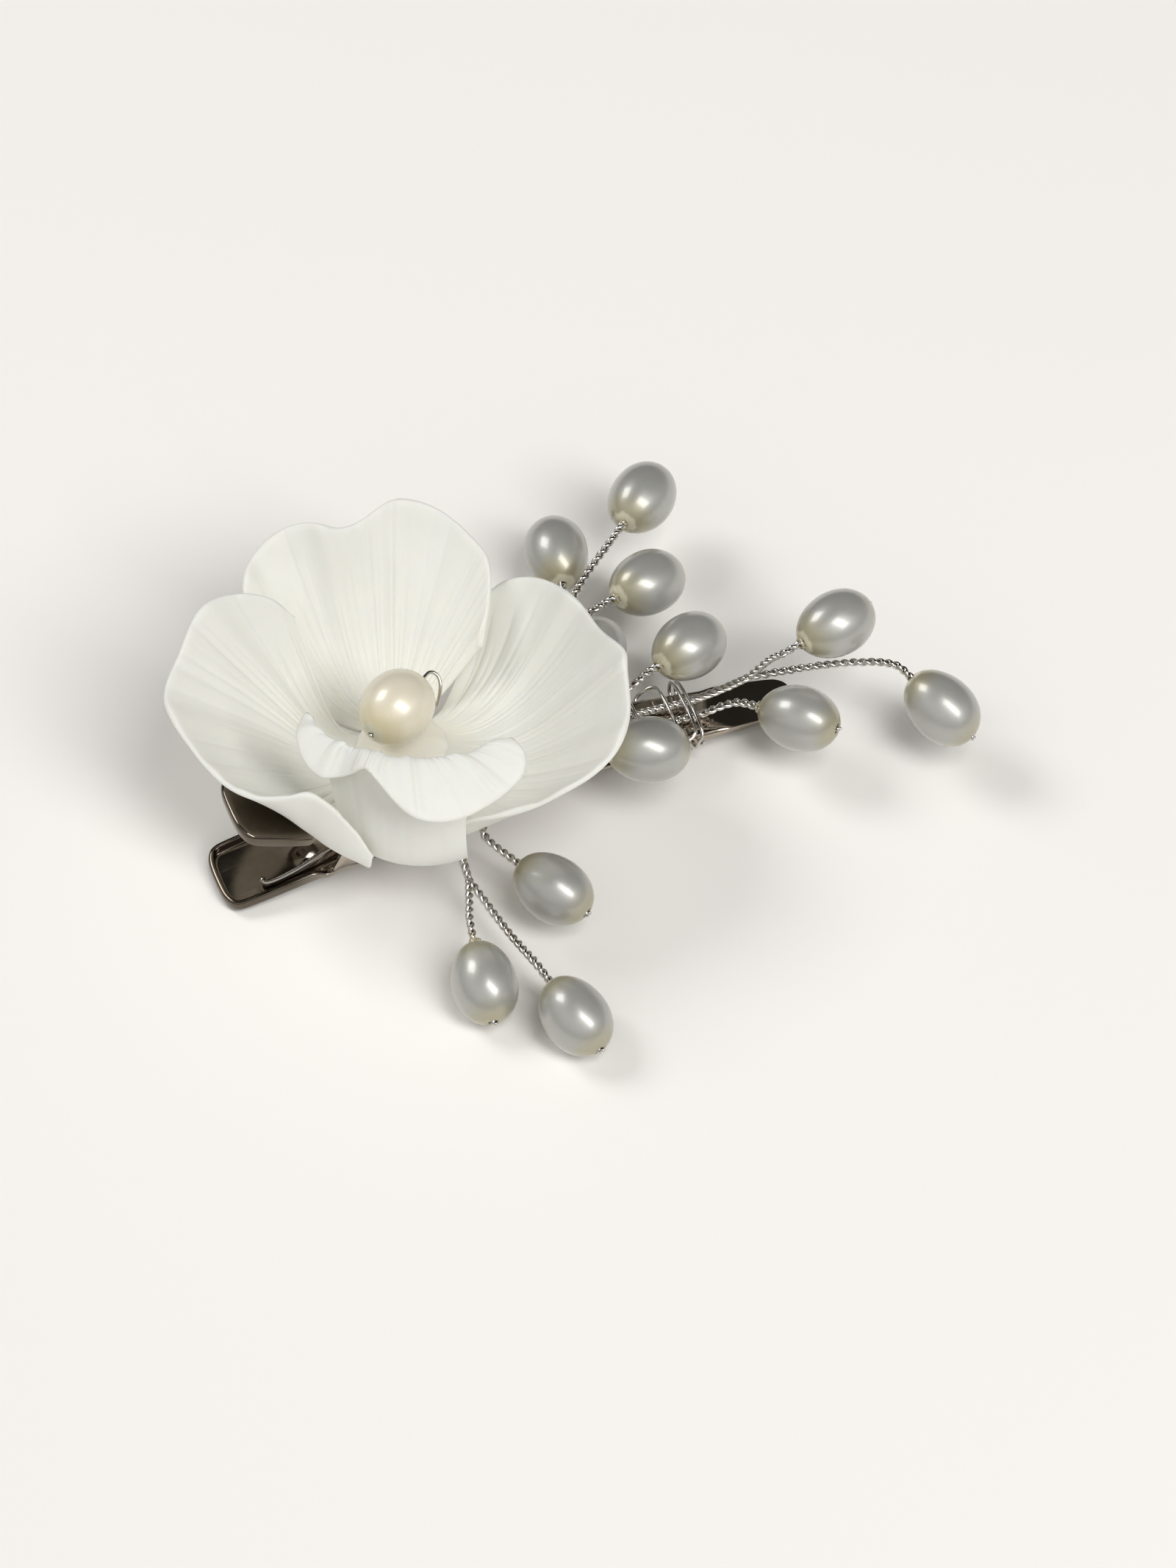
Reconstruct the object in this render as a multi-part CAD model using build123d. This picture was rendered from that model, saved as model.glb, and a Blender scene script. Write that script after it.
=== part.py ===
from build123d import *
import math
import os

# Flower hair clip: a sprung two-arm metal clip that carries a clay flower and wired pearl sprigs.
# Millimetres. Design frame: X runs from the finger tabs to the jaw tip, Z is up and Z=0 is the
# table. At the end every piece moves so that the origin is below the middle of the whole clip.

# ---- sheet metal arms ----
sheet = 0.6                 # thickness of both arms
tab_end_x = -20.0           # end of the lower finger tab
upper_tab_end_x = -18.0     # end of the upper finger tab
jaw_tip_x = 45.0            # tip of both jaws
pin_x = -6.0
pin_z = 5.2
tab_width = 8.5             # lower tab
upper_tab_width = 8.8
jaw_root_width = 7.8        # upper jaw beside the hinge
jaw_tip_width = 5.2         # upper jaw just before its rounded tip
nest_gap = 0.2              # the lower jaw lies inside the rims of the upper one
tab_rim = 1.0               # height of the turned rim round the lower tab
jaw_rim = 0.35              # height of the turned rim along the lower jaw
upper_tab_rim = 1.1         # depth of the turned rim round the upper tab
upper_jaw_rim = 0.5         # depth of the turned rim along the upper jaw
upper_tab_end_z = 12.9      # underside of the upper tab at its end
bend_z = 8.0                # underside of the upper arm where it bends over the hinge
shoulder_x = -3.0           # where the upper jaw starts, ahead of the hinge
shoulder_z = 6.95
crown_x = 20.0              # where both jaws change slope
crown_radius = 30.0
crown_z = 5.8               # underside of the upper jaw at the crown
tab_end_z = 0.16            # underside of the lower tab where its rounded end starts
lower_bend_z = 2.95         # underside of the lower arm where it bends below the hinge
lower_crown_z = 2.4
lower_tip_z = 0.2
tip_gap = 0.12              # air between the closed jaws at the tip
corner_run = 1.5            # length over which a tab widens from its rounded end
corner_in = 0.3             # how much narrower a tab is where its rounded end starts
tab_bulge = 1.0             # how far a tab's rounded end runs past its last full section
tip_run = 2.0               # length of each jaw's rounded tip
lower_tip_bulge = 1.9
tab_rim_stop = 4.6          # the lower tab's rim ends this far behind the pin
upper_tab_stop = 5.0        # the upper tab and its rim end this far behind the pin
neck_back = 3.2             # the upper arm is narrow from here behind the pin
neck_front = 3.4            # ... to here ahead of it
upper_jaw_start = 7.0       # the upper jaw has its full width this far ahead of the pin
lower_tab_stop = 3.6        # the lower arm starts to narrow this far ahead of the pin
lower_jaw_start = 9.0       # the lower jaw has its full width this far ahead of the pin
waist = 0.3                 # how much narrower the lower jaw is at the crown, each side
upper_waist = 0.2
lower_rim_stop = 7.0        # the lower jaw's rims end this far before the tip
upper_rim_stop = 9.0        # the upper jaw's rims end this far before the tip

# ---- hinge ----
pin_radius = 0.9
pin_running = 0.05          # radial clearance of the pin in the moving ears
rivet_radius = 1.45
rivet_height = 0.4
ear_radius = 1.75           # rounded top of each ear, about the pin
ear_gap = 0.15              # air between a fixed ear and the moving ear beside it
ear_foot = 3.4              # half length of a fixed ear where it leaves the lower arm
moving_ear_foot = 2.6       # half length of a moving ear where it leaves the upper arm
ear_root = 0.5              # how deep a fixed ear is rooted below the lower arm's bend
moving_ear_root = 0.4       # how deep a moving ear is rooted below the upper arm's bend
spring_wire = 0.7
spring_turns = 4
spring_pitch = 0.85
spring_clear = 0.25         # air between the pin and the inside of the coil
upper_foot = 8.5            # the upper leg ends this far behind the pin
lower_foot = 9.5            # the lower leg ends this far behind the pin
leg_reach = 0.2             # each leg leaves the coil this far past the pin's axis
upper_knee = 3.0            # each leg bends this far before its end
lower_knee = 4.0
upper_knee_gap = 0.5        # the upper leg is this far under its tab at its knee and at its end
upper_foot_gap = 0.1
lower_knee_gap = 1.1        # the lower leg's axis is this far over the lower tab at its knee

# ---- flower ----
flower_x = 1.2
flower_y = 2.4
flower_z = 9.5
flower_lean = 6.0           # degrees that the flower leans back, away from its raised petal
petal_thick = 0.9
core_radius = 4.2
core_height = 4.0
petal_root = 0.75           # air between a petal's root and the core
surface_fit = 0.1           # how near a petal's faces pass to their points
centre_pearl_length = 8.8
centre_pearl_width = 7.6
centre_pearl_heading = 32.0
centre_wire_radius = 0.2
centre_wire_clear = 0.1     # air round the wire in the centre pearl
centre_wire_end = 0.4       # the wire stands out of the far hole by this much
centre_wire_radii = [0.8, 1.2]
glue_gap = 0.1              # thickness of the glue between two pieces
pad_length = 8.4            # the glue pad below the flower
pad_width = 5.4
pad_y = 0.4

# ---- sprigs ----
pearl_length = 9.2
pearl_width = 7.0
bore_clear = 0.15           # how much wider a pearl's hole is than its stem
fat_end = 0.53              # share of a pearl's length before its widest place
stem_lead = 2.4             # straight run of a stem before its pearl
stem_width = 0.8            # a stem is two fine wires twisted together
trunk_width = 1.1           # where stems are twisted into one
binding_width = 0.36
binding_clear = 0.15        # air between a binding loop and what it holds
binding_bend = 0.43         # radius of a loop's corners
lay_gap = 0.05              # a wire that lies on metal or on another wire
hole_gap = 0.05             # a stem's straight run starts this far before its pearl
stem_end = 0.15             # a stem shows this much beyond its pearl
table_gap = 0.1             # air between the lowest pearls and the table

blank_height = 60.0         # taller and wider than any arm: the blocks that trim the arms
blank_half_width = 20.0

pearl_bore = stem_width + bore_clear
parts = {}


def arm_profile(points, radii, low, high, y_half):
    """A band that follows a bent line, from low to high above it, across the whole width."""
    line = FilletPolyline(*points, radius=radii)
    lower = Pos(0, low) * line
    upper = Pos(0, high) * line
    (x_start, z_start), (x_end, z_end) = points[0], points[-1]
    start = Line((x_start, z_start + high), (x_start, z_start + low))
    end = Line((x_end, z_end + low), (x_end, z_end + high))
    band = Face(Wire([*lower.edges(), end.edge(), *upper.edges(), start.edge()]))
    return extrude(Plane.XZ * band, amount=y_half, both=True)


def plan_outline(stations, end_bulge, tip_bulge):
    """Top view of an arm: half widths at stations along X, with rounded ends."""
    near = [(x, -half) for x, half in stations]
    far = [(x, half) for x, half in reversed(stations)]
    tip_x, tip_half = stations[-1]
    end_x, end_half = stations[0]
    tip = ThreePointArc((tip_x, -tip_half), (tip_x + tip_bulge, 0), (tip_x, tip_half))
    end = ThreePointArc((end_x, end_half), (end_x - end_bulge, 0), (end_x, -end_half))
    outline = Wire([*Polyline(*near).edges(), tip.edge(), *Polyline(*far).edges(), end.edge()])
    return Face(outline)


def channel(points, radii, stations, bulges, side, rims):
    """A sheet arm with turned rims. side is +1 for rims that point up, -1 for rims that point down."""
    outline = plan_outline(stations, *bulges)
    half = blank_half_width
    lowered = Pos(0, 0, -blank_height / 2)
    blank = lowered * extrude(outline, amount=blank_height)
    arm = arm_profile(points, radii, 0, sheet, half) & blank
    core = lowered * extrude(offset(outline, amount=-sheet), amount=blank_height)
    for x_from, x_to, rim in rims:
        if side > 0:
            band = arm_profile(points, radii, 0, sheet + rim, half)
        else:
            band = arm_profile(points, radii, -rim, sheet, half)
        span = Pos((x_from + x_to) / 2, 0, 0) * Box(x_to - x_from, half * 2, blank_height)
        arm = arm + ((band & blank & span) - core)
    return arm


def mirrored(shape):
    return shape + shape.mirror(Plane.XZ)


def ear(foot_z, y_inner, foot_half):
    """One ear plate that carries the pin, with its rounded end about the pin."""
    side = 1 if foot_z < pin_z else -1
    foot = foot_z - pin_z
    reach = math.hypot(foot_half, foot)
    lean = math.asin(ear_radius / reach)
    turn = math.atan2(abs(foot), foot_half)
    touch_angle = math.pi / 2 - (turn - lean) if turn > lean else math.pi / 2
    tx = ear_radius * math.sin(touch_angle)
    tz = side * ear_radius * math.cos(touch_angle)
    top = (pin_x, pin_z + side * ear_radius)
    outline = Wire([
        Line((pin_x - foot_half, foot_z), (pin_x - tx, pin_z + tz)).edge(),
        ThreePointArc((pin_x - tx, pin_z + tz), top, (pin_x + tx, pin_z + tz)).edge(),
        Line((pin_x + tx, pin_z + tz), (pin_x + foot_half, foot_z)).edge(),
        Line((pin_x + foot_half, foot_z), (pin_x - foot_half, foot_z)).edge(),
    ])
    plate = extrude(Plane.XZ * Face(outline), amount=sheet / 2, both=True)
    return Pos(0, y_inner + sheet / 2, 0) * plate


def along_y(radius, y_from, y_to, x=pin_x, z=pin_z):
    middle = (y_from + y_to) / 2
    return Pos(x, middle, z) * Rot(90, 0, 0) * Cylinder(radius, y_to - y_from)


# The hinge from outside in: the fixed ear's outer face is flush with the lower tab's side.
fixed_ear_y = tab_width / 2 - sheet
moving_ear_y = fixed_ear_y - ear_gap - sheet
hinge_half_width = moving_ear_y + sheet

lower_bend_x = -1.5
upper_bend_x = -8.4
past = 2.0                  # how far each bent line runs past the ends of its arm
tab_slope = (lower_bend_z - tab_end_z) / (lower_bend_x - tab_end_x)
lower_jaw_slope = (lower_crown_z - lower_tip_z) / (jaw_tip_x - crown_x)
lower_line = [(tab_end_x - past, tab_end_z - past * tab_slope), (lower_bend_x, lower_bend_z),
              (crown_x, lower_crown_z), (jaw_tip_x + past, lower_tip_z - past * lower_jaw_slope)]
upper_slope = (upper_tab_end_z - bend_z) / (upper_bend_x - upper_tab_end_x)
upper_tip_z = lower_tip_z + sheet + tip_gap
jaw_slope = (crown_z - upper_tip_z) / (jaw_tip_x - crown_x)
upper_line = [(upper_tab_end_x - past, upper_tab_end_z + past * upper_slope),
              (upper_bend_x, bend_z), (shoulder_x, shoulder_z), (crown_x, crown_z),
              (jaw_tip_x + past, upper_tip_z - past * jaw_slope)]
upper_bends = [3, 8, crown_radius]
lower_bends = [20, crown_radius]


def underside(line, x):
    """Height of a bent line at x, along its straight runs."""
    for (x0, z0), (x1, z1) in zip(line, line[1:]):
        if x <= x1:
            return z0 + (z1 - z0) * (x - x0) / (x1 - x0)
    return line[-1][1]


def jaw_top(x):
    return underside(upper_line, x) + sheet


inner_root = jaw_root_width / 2 - sheet - nest_gap
inner_tip = jaw_tip_width / 2 - sheet - nest_gap

lower_jaw_x = pin_x + lower_jaw_start
lower_arm = channel(
    lower_line, lower_bends, [
        (tab_end_x, tab_width / 2 - corner_in), (tab_end_x + corner_run, tab_width / 2),
        (pin_x + lower_tab_stop, tab_width / 2), (lower_jaw_x, inner_root),
        (crown_x, inner_root - waist), (jaw_tip_x - tip_run, inner_tip)],
    (tab_bulge, lower_tip_bulge), 1,
    [(tab_end_x - past, pin_x - tab_rim_stop, tab_rim),
     (lower_jaw_x, jaw_tip_x - lower_rim_stop, jaw_rim)])
lower_ears = mirrored(ear(lower_bend_z - ear_root, fixed_ear_y, ear_foot))
lower_arm = lower_arm + lower_ears
lower_arm = lower_arm - along_y(pin_radius, -tab_width, tab_width)

upper_jaw_x = pin_x + upper_jaw_start
upper_tab_x = pin_x - upper_tab_stop
upper_arm = channel(
    upper_line, upper_bends, [
        (upper_tab_end_x, upper_tab_width / 2 - corner_in),
        (upper_tab_end_x + corner_run, upper_tab_width / 2),
        (upper_tab_x, upper_tab_width / 2), (pin_x - neck_back, hinge_half_width),
        (pin_x + neck_front, hinge_half_width), (upper_jaw_x, jaw_root_width / 2),
        (crown_x, jaw_root_width / 2 - upper_waist), (jaw_tip_x - tip_run, jaw_tip_width / 2)],
    (tab_bulge, tip_run), -1,
    [(upper_tab_end_x - past, upper_tab_x, upper_tab_rim),
     (upper_jaw_x, jaw_tip_x - upper_rim_stop, upper_jaw_rim)])
upper_ears = mirrored(ear(bend_z - moving_ear_root, moving_ear_y, moving_ear_foot))
upper_arm = upper_arm + upper_ears
upper_arm = upper_arm - along_y(pin_radius + pin_running, -tab_width / 2, tab_width / 2)
parts["lower_arm"] = lower_arm
parts["upper_arm"] = upper_arm

pin_half = tab_width / 2
rivet = along_y(rivet_radius, pin_half, pin_half + rivet_height)
hinge_pin = along_y(pin_radius, -pin_half, pin_half) + mirrored(rivet)
parts["hinge_pin"] = hinge_pin


def tube(points, radii, width):
    """A round wire along straight runs joined by tangent arcs."""
    path = FilletPolyline(*points, radius=radii) if len(points) > 2 else Line(*points)
    start = Plane(origin=path.position_at(0), z_dir=path.tangent_at(0))
    return sweep(start * Circle(width / 2), path=path)


arc_share = 0.45            # the part of a run that the arc at its end may take


def arc_radii(points, largest=blank_height):
    """The largest arcs that the runs beside each point allow."""
    radii = []
    for a, b, c in zip(points, points[1:], points[2:]):
        p, q, r = Vector(*a), Vector(*b), Vector(*c)
        turn = math.radians((q - p).get_angle(r - q))
        run = min((q - p).length, (r - q).length)
        radii.append(min(arc_share * run / math.tan(turn / 2), largest))
    return radii


# The torsion spring: a coil round the pin, one leg under the upper tab, one in the lower trough.
coil_radius = pin_radius + spring_clear + spring_wire / 2
coil_half = spring_turns * spring_pitch / 2
coil = Helix(pitch=spring_pitch, height=2 * coil_half, radius=coil_radius,
             center=(0, 0, -coil_half))
coil_start = Plane(origin=coil.position_at(0), z_dir=coil.tangent_at(0))
coil_solid = sweep(coil_start * Circle(spring_wire / 2), path=coil, is_frenet=True)
coil_solid = Pos(pin_x, 0, pin_z) * Rot(90, 0, 0) * Rot(0, 0, 90) * coil_solid
leg_clear = spring_wire / 2 + lay_gap
upper_foot_x = pin_x - upper_foot
lower_foot_x = pin_x - lower_foot
upper_knee_x = upper_foot_x + upper_knee
lower_knee_x = lower_foot_x + lower_knee
upper_leg = [(pin_x + leg_reach, coil_half, pin_z + coil_radius),
             (upper_knee_x, coil_half, underside(upper_line, upper_knee_x) - leg_clear - upper_knee_gap),
             (upper_foot_x, coil_half, underside(upper_line, upper_foot_x) - leg_clear - upper_foot_gap)]
lower_floor = underside(lower_line, lower_foot_x) + sheet
lower_leg = [(pin_x + leg_reach, -coil_half, pin_z - coil_radius),
             (lower_knee_x, -coil_half, underside(lower_line, lower_knee_x) + sheet + lower_knee_gap),
             (lower_foot_x, -coil_half, lower_floor + leg_clear)]
spring = coil_solid
for leg in (upper_leg, lower_leg):
    spring = spring + tube(leg, arc_radii(leg), spring_wire)
parts["torsion_spring"] = spring

# ---- the flower ----
lean = math.radians(flower_lean)
flower_plane = Plane(origin=(flower_x, flower_y, flower_z), x_dir=(1, 0, 0),
                     z_dir=(0, math.sin(lean), math.cos(lean)))


def in_flower(turn, reach, height):
    """A point of the flower from its turn in degrees, reach and height."""
    angle = math.radians(turn)
    return flower_plane.from_local_coords((reach * math.cos(angle), reach * math.sin(angle), height))


# Each petal: rows from the root outwards as (turn, reach, height) at its first edge, middle and
# last edge, then the points of its rim. The first edge lies inside the petal before it and the
# last edge outside the petal after it, as in a pinwheel.
root = core_radius + petal_root
petals = {
    "petal_left": {
        "rows": [((140, root, 1.5), (175, root, 1.5), (210, root, 1.0)),
                 ((127, 8.5, 1.2), (175, 8.5, 1.1), (220, 8.5, -0.3)),
                 ((116, 13.0, 5.6), (172, 14.0, 3.9), (229, 13.9, -0.6))],
        "rim": [(114, 15.8, 10.5), (122, 18.4, 13.4), (136, 21.3, 15.0), (150, 22.4, 13.2),
                (163, 23.6, 12.2), (177, 22.1, 11.2), (189, 20.9, 10.0), (202, 18.9, 8.6),
                (212, 16.7, 6.4), (222, 15.2, 3.6), (231, 14.4, 1.6)],
    },
    "petal_back": {
        "rows": [((50, root, 1.6), (82, root, 1.4), (116, root, 1.1)),
                 ((43, 8.2, 1.2), (82, 8.5, 0.6), (121, 8.7, -0.2)),
                 ((34, 12.3, 4.0), (80, 13.4, 3.2), (125, 14.5, 3.6))],
        "rim": [(31, 13.4, 5.4), (35, 16.4, 8.6), (40, 19.2, 11.2), (47, 20.6, 12.4),
                (58, 22.3, 14.0), (69, 22.4, 15.0), (76, 21.4, 14.2), (85, 20.3, 14.0),
                (93, 21.2, 15.0), (101, 22.8, 14.2), (110, 22.6, 13.0), (118, 21.0, 11.6),
                (126, 18.2, 7.6)],
    },
    "petal_right": {
        "rows": [((-64, root, 1.6), (-18, root, 1.4), (34, root, 1.0)),
                 ((-74, 8.0, 0.9), (-18, 8.6, 0.2), (39, 8.9, -0.5)),
                 ((-82, 12.6, 1.0), (-18, 14.4, 2.0), (42, 14.6, 1.6))],
        "rim": [(-84, 13.2, 2.4), (-76, 14.6, 4.0), (-66, 17.6, 5.6), (-56, 20.4, 7.4),
                (-47, 22.7, 8.6), (-39, 24.1, 10.0), (-30, 24.1, 11.2), (-21, 23.6, 12.4),
                (-15, 23.4, 13.0), (-5, 21.9, 11.8), (6, 21.6, 11.2), (17, 21.5, 10.6),
                (28, 21.1, 9.4), (37, 19.6, 7.6), (43, 17.2, 5.0)],
    },
    "petal_front": {
        "rows": [((-144, root, 1.5), (-110, root, 1.3), (-76, root, 1.0)),
                 ((-136, 8.2, 0.9), (-110, 8.5, -0.2), (-80, 8.9, -0.75)),
                 ((-136, 12.0, 0.8), (-112, 13.2, -0.6), (-84, 14.8, 0.0)),
                 ((-142, 12.0, 6.0), (-112, 12.9, 6.0), (-83, 15.0, 5.6)),
                 ((-158, 10.6, 13.0), (-112, 11.6, 13.6), (-70, 14.0, 13.0))],
        "rim": [(-172, 11.0, 13.4), (-160, 13.2, 12.8), (-148, 14.2, 11.4), (-138, 13.8, 11.4),
                (-130, 13.6, 13.0), (-123, 13.8, 14.4), (-115, 15.4, 13.6), (-106, 17.9, 12.0),
                (-96, 19.0, 11.1), (-86, 19.2, 11.2), (-76, 19.2, 11.9), (-67, 19.0, 13.0),
                (-60, 17.0, 14.0)],
    },
}


def three_way(row, share):
    """A row's turn, reach and height at a share of its length, through its three points."""
    first, middle, last = row
    a = 2 * (share - 0.5) * (share - 1)
    b = 4 * share * (1 - share)
    c = 2 * share * (share - 0.5)
    return [a * u + b * v + c * w for u, v, w in zip(first, middle, last)]


def petal_grid(petal):
    """Points of a petal's inner face: one list for each row, from root to rim."""
    columns = len(petal["rim"])
    rows = [[three_way(row, i / (columns - 1)) for i in range(columns)] for row in petal["rows"]]
    rows.append(petal["rim"])
    return [[in_flower(*point) for point in row] for row in rows]


def outer_grid(grid):
    """The grid moved outwards by the petal's thickness, square to its own slopes."""
    rows = len(grid)
    columns = len(grid[0])
    moved = []
    for i, row in enumerate(grid):
        line = []
        for j, point in enumerate(row):
            outwards = grid[min(i + 1, rows - 1)][j] - grid[max(i - 1, 0)][j]
            across = row[min(j + 1, columns - 1)] - row[max(j - 1, 0)]
            line.append(point - outwards.cross(across).normalized() * petal_thick)
        moved.append(line)
    return moved


def petal_solid(petal):
    """A thin shell between its inner face, its outer face and four narrow side faces."""
    grid = petal_grid(petal)
    inner = Face.make_surface_from_array_of_points(grid, tol=surface_fit, min_deg=3)
    outer = Face.make_surface_from_array_of_points(outer_grid(grid), tol=surface_fit, min_deg=3)
    sides = []
    for edge in inner.edges():
        middle = edge.position_at(0.5)
        mate = min(outer.edges(), key=lambda other: (other.position_at(0.5) - middle).length)
        sides.append(Face.make_surface_from_curves(edge, mate))
    return Solid(Shell([inner, outer, *sides]))


for name, petal in petals.items():
    parts[name] = petal_solid(petal)


def turned(profile_points, plane):
    """A solid of revolution about the plane's normal from (radius, height) points."""
    face = Face(Wire(Polyline(*[(r, 0, z) for r, z in profile_points], close=True).edges()))
    return plane * revolve(face, Axis.Z)


shoulder_height = core_height * 0.55
seat_radius = core_radius * 0.62
parts["flower_core"] = turned([(0, 0), (core_radius, 0), (core_radius, shoulder_height),
                               (seat_radius, core_height), (0, core_height)], flower_plane)


def pearl(length, width, bore, widest):
    """An egg-shaped bead drilled end to end along X. widest is the share before its widest place."""
    long_half = length * widest
    short_half = length - long_half
    narrow = EllipticalCenterArc((0, 0), long_half, width / 2, 90, arc_size=90)
    full = EllipticalCenterArc((0, 0), short_half, width / 2, 0, arc_size=90)
    half = Face(Wire([full.edge(), narrow.edge(), Line((-long_half, 0), (short_half, 0)).edge()]))
    bead = revolve(half, Axis.X)
    return bead - Rot(0, 90, 0) * Cylinder(bore / 2, length * 2)


def place(shape, centre, heading, dip):
    """Turns a piece made along X to a heading in plan and a dip below level, at its centre."""
    return Pos(*centre) * Rot(0, 0, heading) * Rot(0, dip, 0) * shape


def direction(heading, dip):
    a, b = math.radians(heading), math.radians(dip)
    return Vector(math.cos(a) * math.cos(b), math.sin(a) * math.cos(b), -math.sin(b))


pearl_seat = core_height + centre_pearl_width / 2 + glue_gap
centre = flower_plane.from_local_coords((0, 0, pearl_seat))
parts["centre_pearl"] = place(pearl(centre_pearl_length, centre_pearl_width,
                                    2 * (centre_wire_radius + centre_wire_clear), 0.5),
                              tuple(centre), centre_pearl_heading, 0)

# The fine wire through the centre pearl turns down at its hole and ends beside the core.
hole_side = centre + direction(centre_pearl_heading, 0) * (centre_pearl_length / 2)
out = direction(centre_pearl_heading, 0)
aside = Vector(-out.Y, out.X, 0)
# how far each point of its bend is out from the hole, aside of it and below it
centre_wire_bend = [(0.9, 0, 0), (1.2, 1.0, 1.6), (-0.2, 1.9, 3.5)]
wire_route = [tuple(centre - out * (centre_pearl_length / 2 + centre_wire_end))]
wire_route += [tuple(hole_side + out * ahead - aside * across - Vector(0, 0, below))
               for ahead, across, below in centre_wire_bend]
parts["centre_wire"] = tube(wire_route, centre_wire_radii, centre_wire_radius * 2)

# ---- pearls and their stems ----
# centre of each pearl, heading in plan and dip below level, both from its stem outwards
drop = pearl_width / 2 + table_gap
over_jaw_x = 34.9           # one pearl stands over the jaw and the wire bound round it
over_jaw = 5.8
pearls = {
    "01": ((37.7, 25.3, 9.0), 42, 9),
    "02": ((27.0, 23.9, 6.0), 77, 5),
    "03": ((33.8, 14.0, 9.5), 20, 16),
    "04": ((26.4, 11.4, drop), 46, 0),
    "05": ((over_jaw_x, 4.7, jaw_top(over_jaw_x) + over_jaw), 23, 12),
    "06": ((25.75, -6.67, 9.77), -12, 14),
    "07": ((49.5, -0.8, 13.0), 15, 3),
    "08": ((57.1, -12.1, 8.0), -61, 22),
    "09": ((42.7, -7.4, 7.6), -46, -8),
    "10": ((10.9, -16.9, 5.5), -58, 9),
    "11": ((0.2, -24.1, drop), -98, 14),
    "12": ((7.6, -31.4, drop), -75, 14),
}


def lying(x, y, width):
    """A point of a wire of that width lying on the upper jaw."""
    return (x, y, jaw_top(x) + width / 2 + lay_gap)


back_fork = (19.5, 8.6, 8.9)
tip_fork = (39.6, -0.4, 7.7)
front_fork = (3.2, -11.8, 4.6)
trunk_routes = {
    "trunk_back": [back_fork, (14.5, 4.9, 8.5), lying(11.0, 2.5, trunk_width),
                   lying(6.8, 2.4, trunk_width)],
    "trunk_tip": [tip_fork, (36.0, 0.5, 5.4), lying(31.5, 0.95, trunk_width),
                  lying(crown_x, 0.9, trunk_width), lying(6.8, 0.8, trunk_width)],
    "trunk_front": [front_fork, (3.1, -8.4, 5.9), (5.4, -5.3, 7.75),
                    lying(8.4, -2.2, trunk_width), lying(12.0, -1.9, trunk_width)],
}
# the points of each stem between its trunk or the jaw and its pearl
stem_routes = {
    "01": [back_fork, (25.4, 15.6, 9.2)],
    "02": [back_fork, (23.6, 14.2, 6.9)],
    "03": [back_fork, (25.9, 12.3, 9.9)],
    "04": [back_fork, (21.3, 7.6, 5.6)],
    "05": [lying(13.4, 2.7, stem_width), lying(18.5, 2.6, stem_width), (26.4, 2.2, 8.4)],
    "06": [lying(13.2, -3.1, stem_width), lying(16.6, -3.2, stem_width), (19.2, -4.0, 9.3)],
    "07": [tip_fork, (41.6, -1.0, 10.9)],
    "08": [tip_fork, (43.4, -1.7, 9.1), (48.4, -3.6, 10.3)],
    "09": [lying(12.0, -0.75, stem_width), lying(crown_x, -0.75, stem_width),
           lying(33.6, -0.9, stem_width), (37.4, -2.6, 6.0)],
    "10": [lying(12.4, -3.3, stem_width), (8.2, -4.9, 7.9), (5.9, -8.0, 6.5)],
    "11": [front_fork, (2.6, -15.6, 3.7)],
    "12": [front_fork, (4.6, -18.8, 4.0)],
}
forks = {"01": "trunk_back", "02": "trunk_back", "03": "trunk_back", "04": "trunk_back",
         "07": "trunk_tip", "08": "trunk_tip", "11": "trunk_front", "12": "trunk_front"}

for name, points in trunk_routes.items():
    parts[name] = tube(points, arc_radii(points, largest=crown_radius), trunk_width)

for number, (middle, heading, dip) in pearls.items():
    parts["rice_pearl_" + number] = place(
        pearl(pearl_length, pearl_width, pearl_bore, fat_end), middle, heading, dip)
    ahead = direction(heading, dip)
    hole = Vector(*middle) - ahead * (pearl_length * fat_end + hole_gap)
    entry = hole - ahead * stem_lead
    exit_end = Vector(*middle) + ahead * (pearl_length * (1 - fat_end) + stem_end)
    start = stem_routes[number]
    radii = arc_radii([*start, tuple(entry), tuple(hole)], largest=crown_radius)
    parts["stem_" + number] = tube([*start, tuple(entry), tuple(exit_end)], radii, stem_width)

# ---- binding wire: closed loops round the upper jaw and the wires that lie on it ----
wire_half = binding_width / 2


def binding_loop(x_top, x_bottom, load_height):
    """One loop, which may slant: x at its top and at its underside, and the room inside it."""
    half = jaw_root_width / 2 + wire_half + binding_clear
    low = underside(upper_line, x_bottom) - upper_jaw_rim - wire_half - lay_gap
    high = jaw_top(x_top) + load_height + wire_half + binding_clear
    corners = [(x_top, -half, high), (x_top, half, high), (x_bottom, half, low),
               (x_bottom, -half, low)]
    path = FilletPolyline(*corners, radius=binding_bend, close=True)
    start = Plane(origin=path.position_at(0), z_dir=path.tangent_at(0))
    return sweep(start * Circle(wire_half), path=path)


# x at the top, x at the underside, and how much higher than a trunk the load stands there
jaw_loops = [(26.2, 26.2, 0.0), (26.9, 26.8, 0.0), (30.6, 28.0, 0.1), (32.4, 32.2, 0.5),
             (33.0, 32.9, 0.55)]
parts["binding_wire_jaw"] = Compound(children=[
    binding_loop(x_top, x_bottom, trunk_width + extra) for x_top, x_bottom, extra in jaw_loops])

# ---- the glue pad between the upper arm and the flower's core ----
pad = Pos(flower_x, pad_y, flower_z) * Box(pad_length, pad_width, blank_height)
above = flower_plane * (Pos(0, 0, blank_height / 2) * Box(blank_height, blank_height, blank_height))
below = arm_profile(upper_line, upper_bends, -blank_height, sheet, blank_half_width)
parts["glue_pad"] = pad - above - below

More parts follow.
